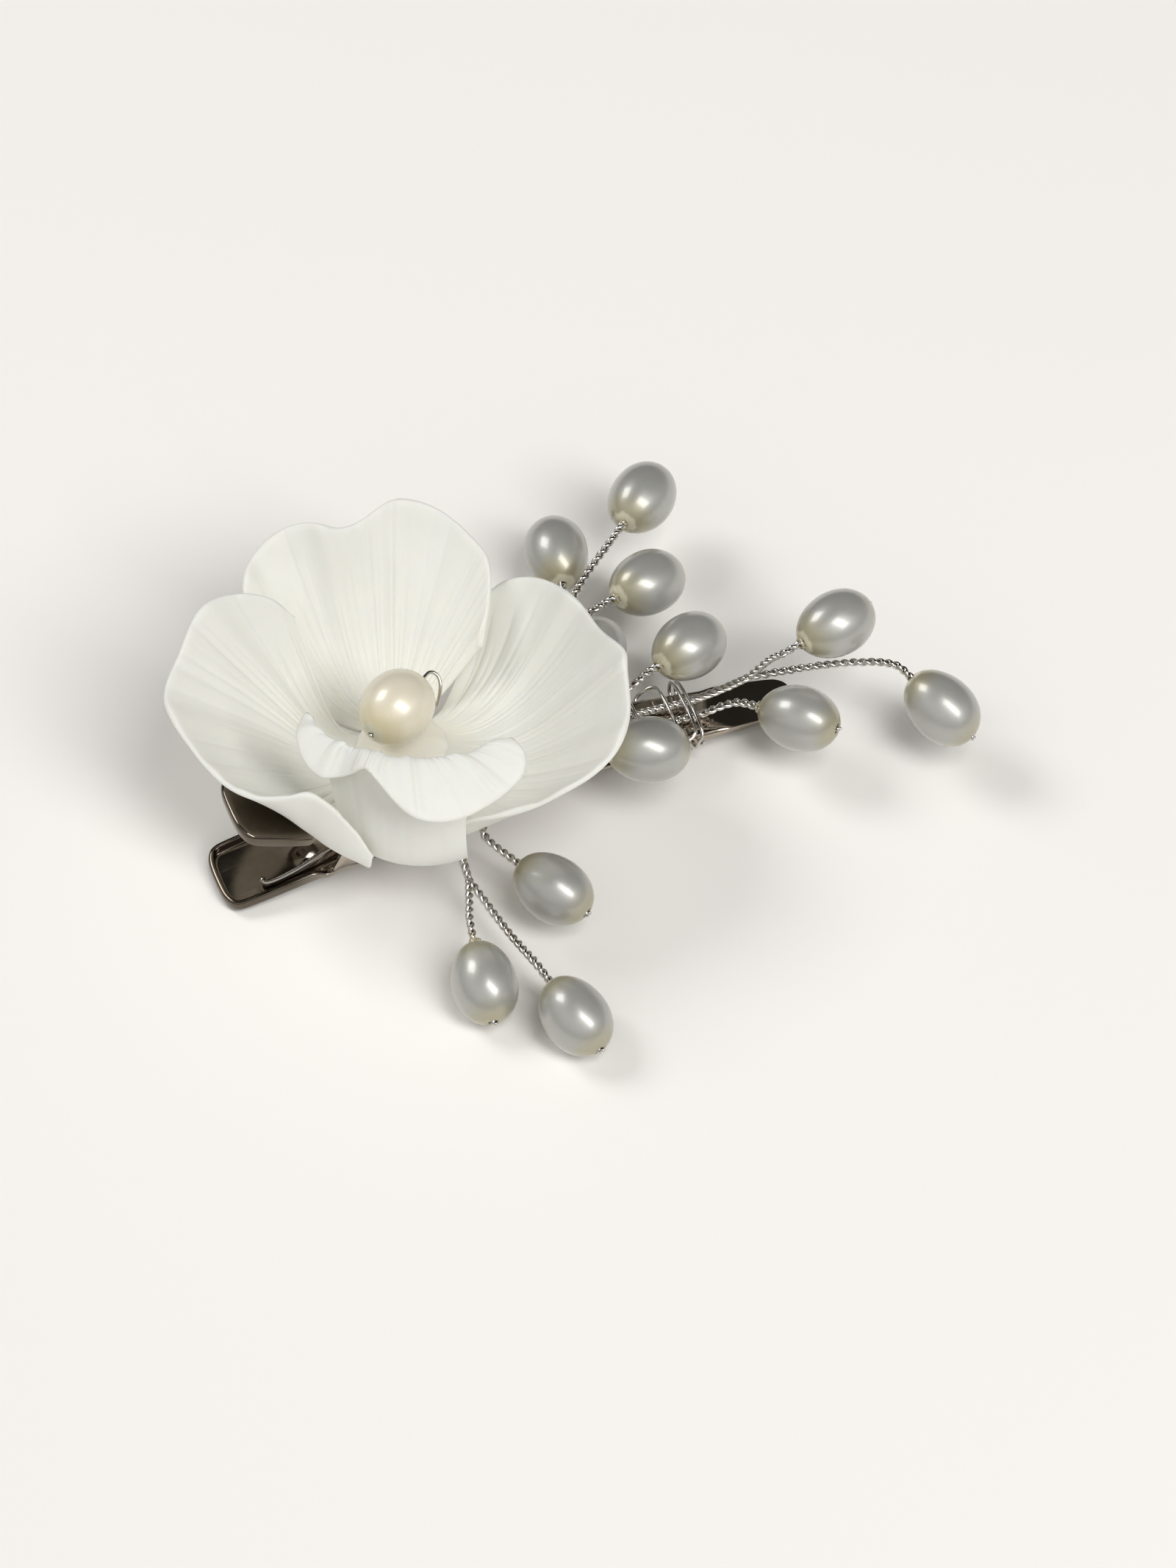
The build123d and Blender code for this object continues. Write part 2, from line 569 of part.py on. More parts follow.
# ---- move the origin below the middle of the whole clip and write the pieces ----
boxes = [shape.bounding_box() for shape in parts.values()]
low = [min(box.min.X for box in boxes), min(box.min.Y for box in boxes),
       min(box.min.Z for box in boxes)]
high = [max(box.max.X for box in boxes), max(box.max.Y for box in boxes)]
shift = Pos(-(low[0] + high[0]) / 2, -(low[1] + high[1]) / 2, -low[2])
os.makedirs("parts", exist_ok=True)
for name, shape in parts.items():
    export_step(shift * shape, "parts/" + name + ".step")
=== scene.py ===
"""Flower hair clip: the looks of a sprung metal clip with a clay flower and wired pearls."""

import math
import random

import bmesh
import bpy
import numpy as np
from bpy.props import FloatProperty, FloatVectorProperty, IntProperty, PointerProperty
from mathutils import Matrix, Vector, noise


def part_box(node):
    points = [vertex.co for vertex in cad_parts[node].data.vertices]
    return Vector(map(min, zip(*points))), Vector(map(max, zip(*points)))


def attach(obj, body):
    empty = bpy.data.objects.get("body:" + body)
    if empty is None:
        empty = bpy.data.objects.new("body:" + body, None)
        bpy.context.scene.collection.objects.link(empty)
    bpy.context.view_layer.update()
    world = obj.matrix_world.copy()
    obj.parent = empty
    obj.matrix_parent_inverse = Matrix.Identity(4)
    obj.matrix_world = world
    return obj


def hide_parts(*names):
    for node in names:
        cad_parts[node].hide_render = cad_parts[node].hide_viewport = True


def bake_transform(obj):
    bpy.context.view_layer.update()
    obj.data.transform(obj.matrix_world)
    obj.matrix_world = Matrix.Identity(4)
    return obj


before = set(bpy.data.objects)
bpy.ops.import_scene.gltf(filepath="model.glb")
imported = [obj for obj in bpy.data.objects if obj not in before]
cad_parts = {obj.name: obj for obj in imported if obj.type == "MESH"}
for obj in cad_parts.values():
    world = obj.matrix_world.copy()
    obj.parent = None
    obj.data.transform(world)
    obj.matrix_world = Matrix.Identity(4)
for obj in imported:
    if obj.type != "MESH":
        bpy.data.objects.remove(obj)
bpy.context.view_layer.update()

bl_info = {
    "name": "Flower hair clip",
    "version": (1, 0, 0),
    "blender": (4, 5, 0),
    "location": "3D View > Sidebar > Hair clip",
    "description": "Builds a sprung hair clip with a clay flower and pearls on twisted wire",
    "category": "Add Mesh",
}

MM = 0.001
SAME_POINT = 1e-7       # points nearer than this are one

# ---------------------------------------------------------------------------------------------
# Places. The clip is drawn in millimetres: X from the finger tabs to the jaw tip, Z up from the
# table, and the pin's centre at PIN. The frame's own pin fixes that drawing in the scene.
# ---------------------------------------------------------------------------------------------

PIN = Vector((-6.0, 0.0, 5.2))
pin_low, pin_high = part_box("hinge_pin")
pin_centre = (pin_low + pin_high) / 2
FLOWER = Vector((1.2, 2.4, 9.5))
FLOWER_LEAN = math.radians(6.0)


def at(x, y, z):
    """A point of the drawing as a point of the scene."""
    return pin_centre + (Vector((x, y, z)) - PIN) * MM


flower_turn = Matrix.Rotation(-FLOWER_LEAN, 3, "X")


def in_flower(turn, reach, height):
    """A point from its turn about the flower in degrees, its reach and its height."""
    angle = math.radians(turn)
    local = Vector((reach * math.cos(angle), reach * math.sin(angle), height))
    return at(*(FLOWER + flower_turn @ local))


# ---------------------------------------------------------------------------------------------
# Sizes and colours that a user may change
# ---------------------------------------------------------------------------------------------

def length(name, description, millimetres):
    return FloatProperty(name=name, description=description, default=millimetres * MM, min=0.0,
                         precision=5, unit="LENGTH", subtype="DISTANCE")


def colour(name, description, value):
    return FloatVectorProperty(name=name, description=description, default=value, size=3,
                               min=0.0, max=1.0, subtype="COLOR")


class ClipFlowerSizes(bpy.types.PropertyGroup):
    """Sizes of the clay flower"""
    thickness: length("Petal thickness", "Thickness of a petal at its root", 0.9)
    rim_thickness: length("Rim thickness", "Thickness of a petal at its rim", 0.7)
    vein_depth: length("Vein depth", "Depth of the veins pressed into a petal", 0.16)
    fold_depth: length("Fold depth", "Depth of the broad soft folds of a petal", 0.22)
    veins: IntProperty(name="Veins", description="Veins pressed into each petal", default=34,
                       min=0, max=80)
    core_radius: length("Core radius", "Radius of the flower's middle", 5.0)
    core_height: length("Core height", "Height of the flower's middle", 4.0)


class ClipPearlSizes(bpy.types.PropertyGroup):
    """Sizes of the pearls"""
    length: length("Length", "Length of a pearl on a stem", 9.2)
    width: length("Width", "Width of a pearl on a stem", 7.0)
    centre_length: length("Centre length", "Length of the pearl in the flower", 8.8)
    centre_width: length("Centre width", "Width of the pearl in the flower", 7.6)
    bore: length("Bore", "Diameter of the hole drilled through a pearl", 0.95)


class ClipWireSizes(bpy.types.PropertyGroup):
    """Sizes of the wires"""
    strand: length("Strand", "Diameter of one strand of a stem", 0.47)
    pitch: length("Pitch", "Length of one full twist of a stem", 1.9)
    trunk_strand: length("Trunk strand", "Diameter of one strand of a trunk", 0.4)
    trunk_pitch: length("Trunk pitch", "Length of one full twist of a trunk", 3.0)
    binding: length("Binding", "Diameter of the wire wound round the jaw", 0.4)
    spring: length("Spring wire", "Diameter of the spring's wire", 0.7)
    centre: length("Centre wire", "Diameter of the wire through the centre pearl", 0.4)


class ClipArmSizes(bpy.types.PropertyGroup):
    """Sizes of the sheet metal arms"""
    sheet: length("Sheet", "Thickness of the sheet metal", 0.6)
    lower_rim: length("Lower tab rim", "Height of the rim round the lower tab", 1.0)
    upper_rim: length("Upper tab rim", "Depth of the rim round the upper tab", 1.1)
    ear_radius: length("Ear radius", "Radius of the ears' rounded ends", 1.75)
    pin_radius: length("Pin radius", "Radius of the hinge pin", 0.9)
    rivet_radius: length("Rivet radius", "Radius of the pin's riveted heads", 1.45)


class ClipColours(bpy.types.PropertyGroup):
    """Colours of the finishes"""
    clay: colour("Clay", "Colour of the petals", (0.86, 0.858, 0.80))
    clay_deep: colour("Deep clay", "Colour of the petals near the middle", (0.84, 0.795, 0.67))
    silver_pearl: colour("Silver pearl", "Colour of the pearls on stems", (0.42, 0.42, 0.385))
    cream_pearl: colour("Cream pearl", "Colour of the pearl in the flower", (0.80, 0.74, 0.58))
    metal: colour("Plating", "Colour of the clip's plating", (0.50, 0.455, 0.40))
    wire: colour("Wire", "Colour of the stems", (0.66, 0.65, 0.64))
    floor: colour("Floor", "Colour of the table", (0.97, 0.95, 0.915))


class ClipLook(bpy.types.PropertyGroup):
    """All the sizes and colours of the flower hair clip"""
    flower: PointerProperty(type=ClipFlowerSizes, name="Flower", description="Flower sizes")
    pearl: PointerProperty(type=ClipPearlSizes, name="Pearls", description="Pearl sizes")
    wire: PointerProperty(type=ClipWireSizes, name="Wires", description="Wire sizes")
    arm: PointerProperty(type=ClipArmSizes, name="Arms", description="Arm sizes")
    colours: PointerProperty(type=ClipColours, name="Colours", description="Finish colours")


# ---------------------------------------------------------------------------------------------
# Mesh work
# ---------------------------------------------------------------------------------------------

def ease(low, high, value):
    """Rises smoothly from 0 at low to 1 at high."""
    share = np.clip((value - low) / (high - low), 0, 1)
    return share * share * (3 - 2 * share)


def piece(name, points, faces, origin, body, slot, stands_for, material, turn=None):
    """Makes one closed, smooth-shaded piece and hands it to the frame. With a turn, the points
    are in the piece's own axes. Without a body, the piece is left unattached."""
    mesh = bpy.data.meshes.new(name)
    mesh.from_pydata(points if turn else [Vector(p) - origin for p in points], [], faces)
    work = bmesh.new()
    work.from_mesh(mesh)
    bmesh.ops.remove_doubles(work, verts=work.verts, dist=SAME_POINT)
    bmesh.ops.dissolve_degenerate(work, edges=work.edges, dist=SAME_POINT / 10)
    bmesh.ops.recalc_face_normals(work, faces=work.faces)
    for face in work.faces:
        face.smooth = True
    work.to_mesh(mesh)
    work.free()
    mesh.materials.append(bpy.data.materials[material])
    made = bpy.data.objects.new(name, mesh)
    made.matrix_world = Matrix.Translation(origin) @ (turn or Matrix.Identity(3)).to_4x4()
    bpy.context.scene.collection.objects.link(made)
    if body:
        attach(made, body)
    if stands_for:
        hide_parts(*stands_for)
    return made


def joined(*shapes):
    """Several (points, faces) shapes as one."""
    points, faces = [], []
    for shape_points, shape_faces in shapes:
        start = len(points)
        points += list(shape_points)
        faces += [tuple(i + start for i in face) for face in shape_faces]
    return points, faces


def wrapped(rings, closed_along=False, caps=True):
    """Faces between rings of points, each ring a closed loop of the same count."""
    count = len(rings[0])
    points = [p for ring in rings for p in ring]
    steps = len(rings) if closed_along else len(rings) - 1
    faces = []
    for i in range(steps):
        here, ahead = i * count, ((i + 1) % len(rings)) * count
        for j in range(count):
            k = (j + 1) % count
            faces.append((here + j, here + k, ahead + k, ahead + j))
    if caps and not closed_along:
        faces.append(tuple(range(count))[::-1])
        faces.append(tuple(range((len(rings) - 1) * count, len(rings) * count)))
    return points, faces


def route(points):
    """The smooth line that a wire takes past its points."""
    curve = bpy.data.curves.new("route", "CURVE")
    curve.dimensions = "3D"
    spline = curve.splines.new("NURBS")
    spline.points.add(len(points) - 1)
    for knot, point in zip(spline.points, points):
        knot.co = (*point, 1.0)
    spline.order_u = 3
    spline.use_endpoint_u = True
    spline.resolution_u = 24
    carrier = bpy.data.objects.new("route", curve)
    mesh = bpy.data.meshes.new_from_object(carrier)
    line = [v.co.copy() for v in mesh.vertices]
    bpy.data.objects.remove(carrier)
    bpy.data.curves.remove(curve)
    bpy.data.meshes.remove(mesh)
    return line


def evenly(line, step):
    """The same line with points about one step apart."""
    spots = np.array(line)
    run = np.concatenate(([0], np.cumsum(np.linalg.norm(np.diff(spots, axis=0), axis=1))))
    wanted = np.linspace(0, run[-1], max(3, int(run[-1] / step) + 1))
    return np.stack([np.interp(wanted, run, spots[:, k]) for k in range(3)], axis=1), wanted


def carried_frames(line):
    """Tangents and two cross directions along a line, carried without twist."""
    tangents = np.gradient(line, axis=0)
    tangents /= np.linalg.norm(tangents, axis=1)[:, None]
    aside = np.cross(tangents[0], (0.0, 0.0, 1.0))
    if np.linalg.norm(aside) < 1e-3:
        aside = np.cross(tangents[0], (1.0, 0.0, 0.0))
    sides = []
    for tangent in tangents:
        aside = aside - tangent * (aside @ tangent)
        aside = aside / np.linalg.norm(aside)
        sides.append(aside)
    sides = np.array(sides)
    return tangents, sides, np.cross(tangents, sides)


def round_wire(line, radii, sides=8):
    """A round wire along a line. radii is one radius, or one for each point."""
    line = np.array(line)
    _, a, b = carried_frames(line)
    radii = np.broadcast_to(radii, len(line))
    angles = np.arange(sides) * 2 * math.pi / sides
    rings = [[line[i] + radii[i] * (math.cos(t) * a[i] + math.sin(t) * b[i]) for t in angles]
             for i in range(len(line))]
    return wrapped(rings)


def rounded_ends(radius, count, tip=3):
    """Radii of a wire whose two cut ends are slightly rounded."""
    radii = np.full(count, radius)
    for k in range(tip):
        share = math.sqrt(1 - (1 - (k + 0.6) / (tip + 0.2)) ** 2)
        radii[k] = radius * share
        radii[-1 - k] = radius * share
    return radii


def twisted(points, strands, strand_width, pitch, seed):
    """Strands of wire twisted together along a route, with a hand's uneven twist."""
    draw = random.Random(seed)
    line, run = evenly(route(points), pitch / 16)
    _, a, b = carried_frames(line)
    lay = strand_width / 2 / math.sin(math.pi / strands) * 0.98
    phase = draw.uniform(0, 2 * math.pi)
    unevenness = draw.uniform(0, 100)
    made = []
    for k in range(strands):
        turn = phase + 2 * math.pi * (run / pitch + k / strands)
        turn = turn + 0.7 * np.array([noise.noise(Vector((s / pitch / 3, unevenness, 0)))
                                      for s in run])
        loose = 1 + 0.22 * np.array([noise.noise(Vector((s / pitch, unevenness, k + 3)))
                                     for s in run])
        centre = line + (lay * loose)[:, None] * (np.cos(turn)[:, None] * a
                                                  + np.sin(turn)[:, None] * b)
        made.append(round_wire(centre, rounded_ends(strand_width / 2, len(centre))))
    return joined(*made)


# ---------------------------------------------------------------------------------------------
# Finishes. Effects that more than one finish uses are node groups.
# ---------------------------------------------------------------------------------------------

def add(tree, kind, sockets=None, **settings):
    """Adds a node. sockets gives the values or links of its inputs by name or number."""
    made = tree.nodes.new(kind)
    for key, value in settings.items():
        setattr(made, key, value)
    for key, value in (sockets or {}).items():
        if isinstance(value, bpy.types.NodeSocket):
            tree.links.new(value, made.inputs[key])
        else:
            made.inputs[key].default_value = value
    return made


def effect(name, inputs, outputs):
    """An empty node group with its named inputs and outputs."""
    group = bpy.data.node_groups.new(name, "ShaderNodeTree")
    for label, kind, value in inputs:
        made = group.interface.new_socket(label, in_out="INPUT", socket_type=kind)
        made.default_value = value
    for label, kind in outputs:
        group.interface.new_socket(label, in_out="OUTPUT", socket_type=kind)
    return group, add(group, "NodeGroupInput"), add(group, "NodeGroupOutput")


def place_on_piece(tree):
    return add(tree, "ShaderNodeTexCoord").outputs["Object"]


def fine_grain():
    """Small bumps of two sizes, from 0 to 1."""
    group, given, result = effect(
        "Fine grain", [("Scale", "NodeSocketFloat", 900.0), ("Roughness", "NodeSocketFloat", 0.6)],
        [("Grain", "NodeSocketFloat")])
    texture = add(group, "ShaderNodeTexNoise",
                  {"Vector": place_on_piece(group), "Scale": given.outputs["Scale"],
                   "Detail": 5.0, "Roughness": given.outputs["Roughness"]})
    group.links.new(texture.outputs["Fac"], result.inputs["Grain"])


def colour_drift():
    """Slow change between two colours over a piece."""
    group, given, result = effect(
        "Colour drift", [("Colour A", "NodeSocketColor", (1, 1, 1, 1)),
                         ("Colour B", "NodeSocketColor", (0.5, 0.5, 0.5, 1)),
                         ("Scale", "NodeSocketFloat", 200.0),
                         ("Contrast", "NodeSocketFloat", 0.5)],
        [("Colour", "NodeSocketColor"), ("Mask", "NodeSocketFloat")])
    texture = add(group, "ShaderNodeTexNoise",
                  {"Vector": place_on_piece(group), "Scale": given.outputs["Scale"],
                   "Detail": 3.0, "Distortion": 0.6})
    low = add(group, "ShaderNodeMath", {0: 0.5, 1: given.outputs["Contrast"]},
              operation="SUBTRACT")
    high = add(group, "ShaderNodeMath", {0: 0.5, 1: given.outputs["Contrast"]}, operation="ADD")
    mask = add(group, "ShaderNodeMapRange",
               {"Value": texture.outputs["Fac"], "From Min": low.outputs[0],
                "From Max": high.outputs[0]})
    mixed = add(group, "ShaderNodeMix",
                {"Factor": mask.outputs["Result"], 6: given.outputs["Colour A"],
                 7: given.outputs["Colour B"]}, data_type="RGBA")
    group.links.new(mixed.outputs[2], result.inputs["Colour"])
    group.links.new(mask.outputs["Result"], result.inputs["Mask"])


def scratches():
    """Thin straight marks that run mostly along the piece, from 0 to 1."""
    group, given, result = effect(
        "Scratches", [("Scale", "NodeSocketFloat", 600.0), ("Stretch", "NodeSocketFloat", 0.06),
                      ("Amount", "NodeSocketFloat", 0.5)],
        [("Mask", "NodeSocketFloat")])
    squeeze = add(group, "ShaderNodeCombineXYZ",
                  {"X": given.outputs["Stretch"], "Y": 1.0, "Z": 1.0})
    place = add(group, "ShaderNodeVectorMath",
                {0: place_on_piece(group), 1: squeeze.outputs["Vector"]}, operation="MULTIPLY")
    texture = add(group, "ShaderNodeTexNoise",
                  {"Vector": place.outputs["Vector"], "Scale": given.outputs["Scale"],
                   "Detail": 2.0})
    thin = add(group, "ShaderNodeMapRange",
               {"Value": texture.outputs["Fac"], "From Min": 0.60, "From Max": 0.72,
                "To Max": given.outputs["Amount"]})
    group.links.new(thin.outputs["Result"], result.inputs["Mask"])


def settled_dust():
    """Dust and smudges on faces that look up, from 0 to 1."""
    group, given, result = effect(
        "Settled dust", [("Scale", "NodeSocketFloat", 350.0), ("Amount", "NodeSocketFloat", 0.3)],
        [("Mask", "NodeSocketFloat")])
    facing = add(group, "ShaderNodeSeparateXYZ",
                 {"Vector": add(group, "ShaderNodeNewGeometry").outputs["Normal"]})
    upward = add(group, "ShaderNodeMapRange",
                 {"Value": facing.outputs["Z"], "From Min": 0.1, "From Max": 0.9})
    texture = add(group, "ShaderNodeTexNoise",
                  {"Vector": place_on_piece(group), "Scale": given.outputs["Scale"],
                   "Detail": 6.0, "Roughness": 0.7})
    patches = add(group, "ShaderNodeMapRange",
                  {"Value": texture.outputs["Fac"], "From Min": 0.45, "From Max": 0.75,
                   "To Max": given.outputs["Amount"]})
    both = add(group, "ShaderNodeMath",
               {0: upward.outputs["Result"], 1: patches.outputs["Result"]}, operation="MULTIPLY")
    group.links.new(both.outputs[0], result.inputs["Mask"])


def use(tree, group, **values):
    """Places an effect in a material with its own values."""
    made = add(tree, "ShaderNodeGroup", node_tree=bpy.data.node_groups[group])
    for key, value in values.items():
        label = key.replace("_", " ")
        if isinstance(value, bpy.types.NodeSocket):
            tree.links.new(value, made.inputs[label])
        else:
            made.inputs[label].default_value = value
    return made


def finish(name, **constants):
    """A new material and its Principled shader, with its plain values set on the shader."""
    material = bpy.data.materials.new(name)
    material.use_nodes = True
    shader = material.node_tree.nodes["Principled BSDF"]
    for key, value in constants.items():
        shader.inputs[key.replace("_", " ")].default_value = value
    return material, material.node_tree, shader


def bumped(tree, shader, height, strength, distance):
    bump = add(tree, "ShaderNodeBump",
               {"Height": height, "Strength": strength, "Distance": distance})
    tree.links.new(bump.outputs["Normal"], shader.inputs["Normal"])


def between(tree, value, low, high):
    """Maps a mask from 0..1 to low..high."""
    return add(tree, "ShaderNodeMapRange",
               {"Value": value, "To Min": low, "To Max": high}).outputs["Result"]


def mixed(tree, factor, first, second):
    node = add(tree, "ShaderNodeMix", {"Factor": factor, 6: first, 7: second}, data_type="RGBA")
    return node.outputs[2]


def solid(value):
    return (*value, 1.0)


def clay_finish(colours):
    """Satin air-dry clay: warm white, creamier towards the flower's middle, with a fine tooth."""
    material, tree, shader = finish("satin clay", Subsurface_Weight=0.25, Subsurface_Scale=0.0016,
                                    Subsurface_Radius=(1.0, 0.75, 0.5), IOR=1.45,
                                    Specular_IOR_Level=0.35, Sheen_Weight=0.06)
    place = add(tree, "ShaderNodeVectorMath", {0: place_on_piece(tree)}, operation="LENGTH")
    outwards = add(tree, "ShaderNodeMapRange",
                   {"Value": place.outputs["Value"], "From Min": 5 * MM, "From Max": 14 * MM},
                   interpolation_type="SMOOTHSTEP")
    base = mixed(tree, outwards.outputs["Result"], solid(colours.clay_deep), solid(colours.clay))
    drift = use(tree, "Colour drift", Colour_A=base,
                Colour_B=solid([c * 0.95 for c in colours.clay]), Scale=160.0, Contrast=0.3)
    grain = use(tree, "Fine grain", Scale=2200.0, Roughness=0.65)
    tree.links.new(drift.outputs["Colour"], shader.inputs["Base Color"])
    tree.links.new(between(tree, grain.outputs["Grain"], 0.38, 0.56), shader.inputs["Roughness"])
    bumped(tree, shader, grain.outputs["Grain"], 0.25, 0.00006)
    return material


def pearl_finish(name, body, end, length_half, gloss):
    """Lacquered bead: grey-beige lustre, painted shade darkening and yellowing each end, and a worn
    ring at each hole.
    """
    material, tree, shader = finish(name, Metallic=gloss, IOR=1.55, Coat_Weight=0.85,
                                    Coat_Roughness=0.14, Coat_IOR=1.5,
                                    Subsurface_Weight=0.0)
    along = add(tree, "ShaderNodeSeparateXYZ", {"Vector": place_on_piece(tree)})
    distance = add(tree, "ShaderNodeMath", {0: along.outputs["X"]}, operation="ABSOLUTE")
    wobble = use(tree, "Fine grain", Scale=700.0, Roughness=0.5)
    ragged = add(tree, "ShaderNodeMath", {0: wobble.outputs["Grain"], 1: 0.9 * MM,
                                          2: distance.outputs[0]}, operation="MULTIPLY_ADD")
    # painted shade and painted warm reflection: the colour darkens and yellows towards both ends of
    # the bead
    ends = add(tree, "ShaderNodeMapRange",
               {"Value": ragged.outputs[0], "From Min": length_half * 0.55,
                "From Max": length_half * 1.05}, interpolation_type="SMOOTHSTEP")
    worn = add(tree, "ShaderNodeMapRange",
               {"Value": ragged.outputs[0], "From Min": length_half * 1.055,
                "From Max": length_half * 1.085})
    drift = use(tree, "Colour drift", Colour_A=solid(body),
                Colour_B=solid([body[0] * 1.06, body[1] * 1.05, body[2] * 1.1]),
                Scale=300.0, Contrast=0.25)
    painted_end_shade_colour = mixed(tree, ends.outputs["Result"], drift.outputs["Colour"], solid(end))
    shown = mixed(tree, worn.outputs["Result"], painted_end_shade_colour, (0.72, 0.68, 0.52, 1.0))
    skin = use(tree, "Fine grain", Scale=1500.0, Roughness=0.75)
    tree.links.new(shown, shader.inputs["Base Color"])
    tree.links.new(between(tree, skin.outputs["Grain"], 0.3, 0.46), shader.inputs["Roughness"])
    bumped(tree, shader, skin.outputs["Grain"], 0.12, 0.00003)
    return material


def metal_finish(name, body, low, high, scratch, dust, painted_tab_shade=0.0):
    """Plated metal with straight scratches, smudges, a little dust and painted shade on the tabs.
    """
    material, tree, shader = finish(name, Metallic=1.0, IOR=1.5)
    marks = use(tree, "Scratches", Scale=900.0, Stretch=0.05, Amount=scratch)
    film = use(tree, "Settled dust", Scale=420.0, Amount=dust)
    drift = use(tree, "Colour drift", Colour_A=solid(body),
                Colour_B=solid([body[0] * 0.86, body[1] * 0.82, body[2] * 0.76]),
                Scale=260.0, Contrast=0.22)
    along = add(tree, "ShaderNodeSeparateXYZ", {"Vector": place_on_piece(tree)})
    # painted shade: the colour goes nearly black towards the finger tabs, standing in for the dark
    # reflections there
    tabs = add(tree, "ShaderNodeMapRange",
               {"Value": along.outputs["X"], "From Min": -1 * MM, "From Max": -8 * MM,
                "To Max": painted_tab_shade}, interpolation_type="SMOOTHSTEP")
    painted_tab_shade_colour = mixed(tree, tabs.outputs["Result"], drift.outputs["Colour"], (0.06, 0.045, 0.03, 1.0))
    dusty = mixed(tree, film.outputs["Mask"], painted_tab_shade_colour, (0.45, 0.42, 0.37, 1.0))
    tree.links.new(dusty, shader.inputs["Base Color"])
    total = add(tree, "ShaderNodeMath",
                {0: marks.outputs["Mask"], 1: film.outputs["Mask"]}, operation="ADD")
    tree.links.new(between(tree, total.outputs[0], low, high), shader.inputs["Roughness"])
    bumped(tree, shader, total.outputs[0], 0.15, 0.00002)
    return material


def glue_finish():
    """Set clear glue with a pale yellow cast."""
    material, tree, shader = finish("set glue", IOR=1.48, Transmission_Weight=0.75)
    drift = use(tree, "Colour drift", Colour_A=(0.95, 0.90, 0.74, 1.0),
                Colour_B=(0.86, 0.78, 0.55, 1.0), Scale=700.0, Contrast=0.3)
    grain = use(tree, "Fine grain", Scale=1400.0, Roughness=0.5)
    tree.links.new(drift.outputs["Colour"], shader.inputs["Base Color"])
    tree.links.new(between(tree, grain.outputs["Grain"], 0.08, 0.3), shader.inputs["Roughness"])
    bumped(tree, shader, grain.outputs["Grain"], 0.3, 0.00005)
    return material


def make_finishes(colours):
    """Every effect once, then every finish."""
    fine_grain()
    colour_drift()
    scratches()
    settled_dust()
    silver = tuple(colours.silver_pearl)
    cream = tuple(colours.cream_pearl)
    clay_finish(colours)
    # the colour after each body colour is the painted shade at the pearl's ends
    pearl_finish("silver pearl", silver, (0.40, 0.37, 0.25), 4.6 * MM, 0.35)
    pearl_finish("cream pearl", cream, (0.74, 0.66, 0.45), 4.4 * MM, 0.1)
    # the last value sets how strong the painted shade on the finger tabs is
    metal_finish("clip plating", tuple(colours.metal), 0.1, 0.34, 0.6, 0.12, 0.82)
    metal_finish("pin steel", (0.62, 0.58, 0.52), 0.2, 0.45, 0.5, 0.2)
    metal_finish("spring steel", (0.42, 0.40, 0.37), 0.22, 0.5, 0.4, 0.2)
    metal_finish("silver wire", tuple(colours.wire), 0.06, 0.2, 0.5, 0.05)
    metal_finish("binding wire", (0.72, 0.71, 0.70), 0.16, 0.4, 0.4, 0.1)
    glue_finish()


# ---------------------------------------------------------------------------------------------
# The flower
# ---------------------------------------------------------------------------------------------

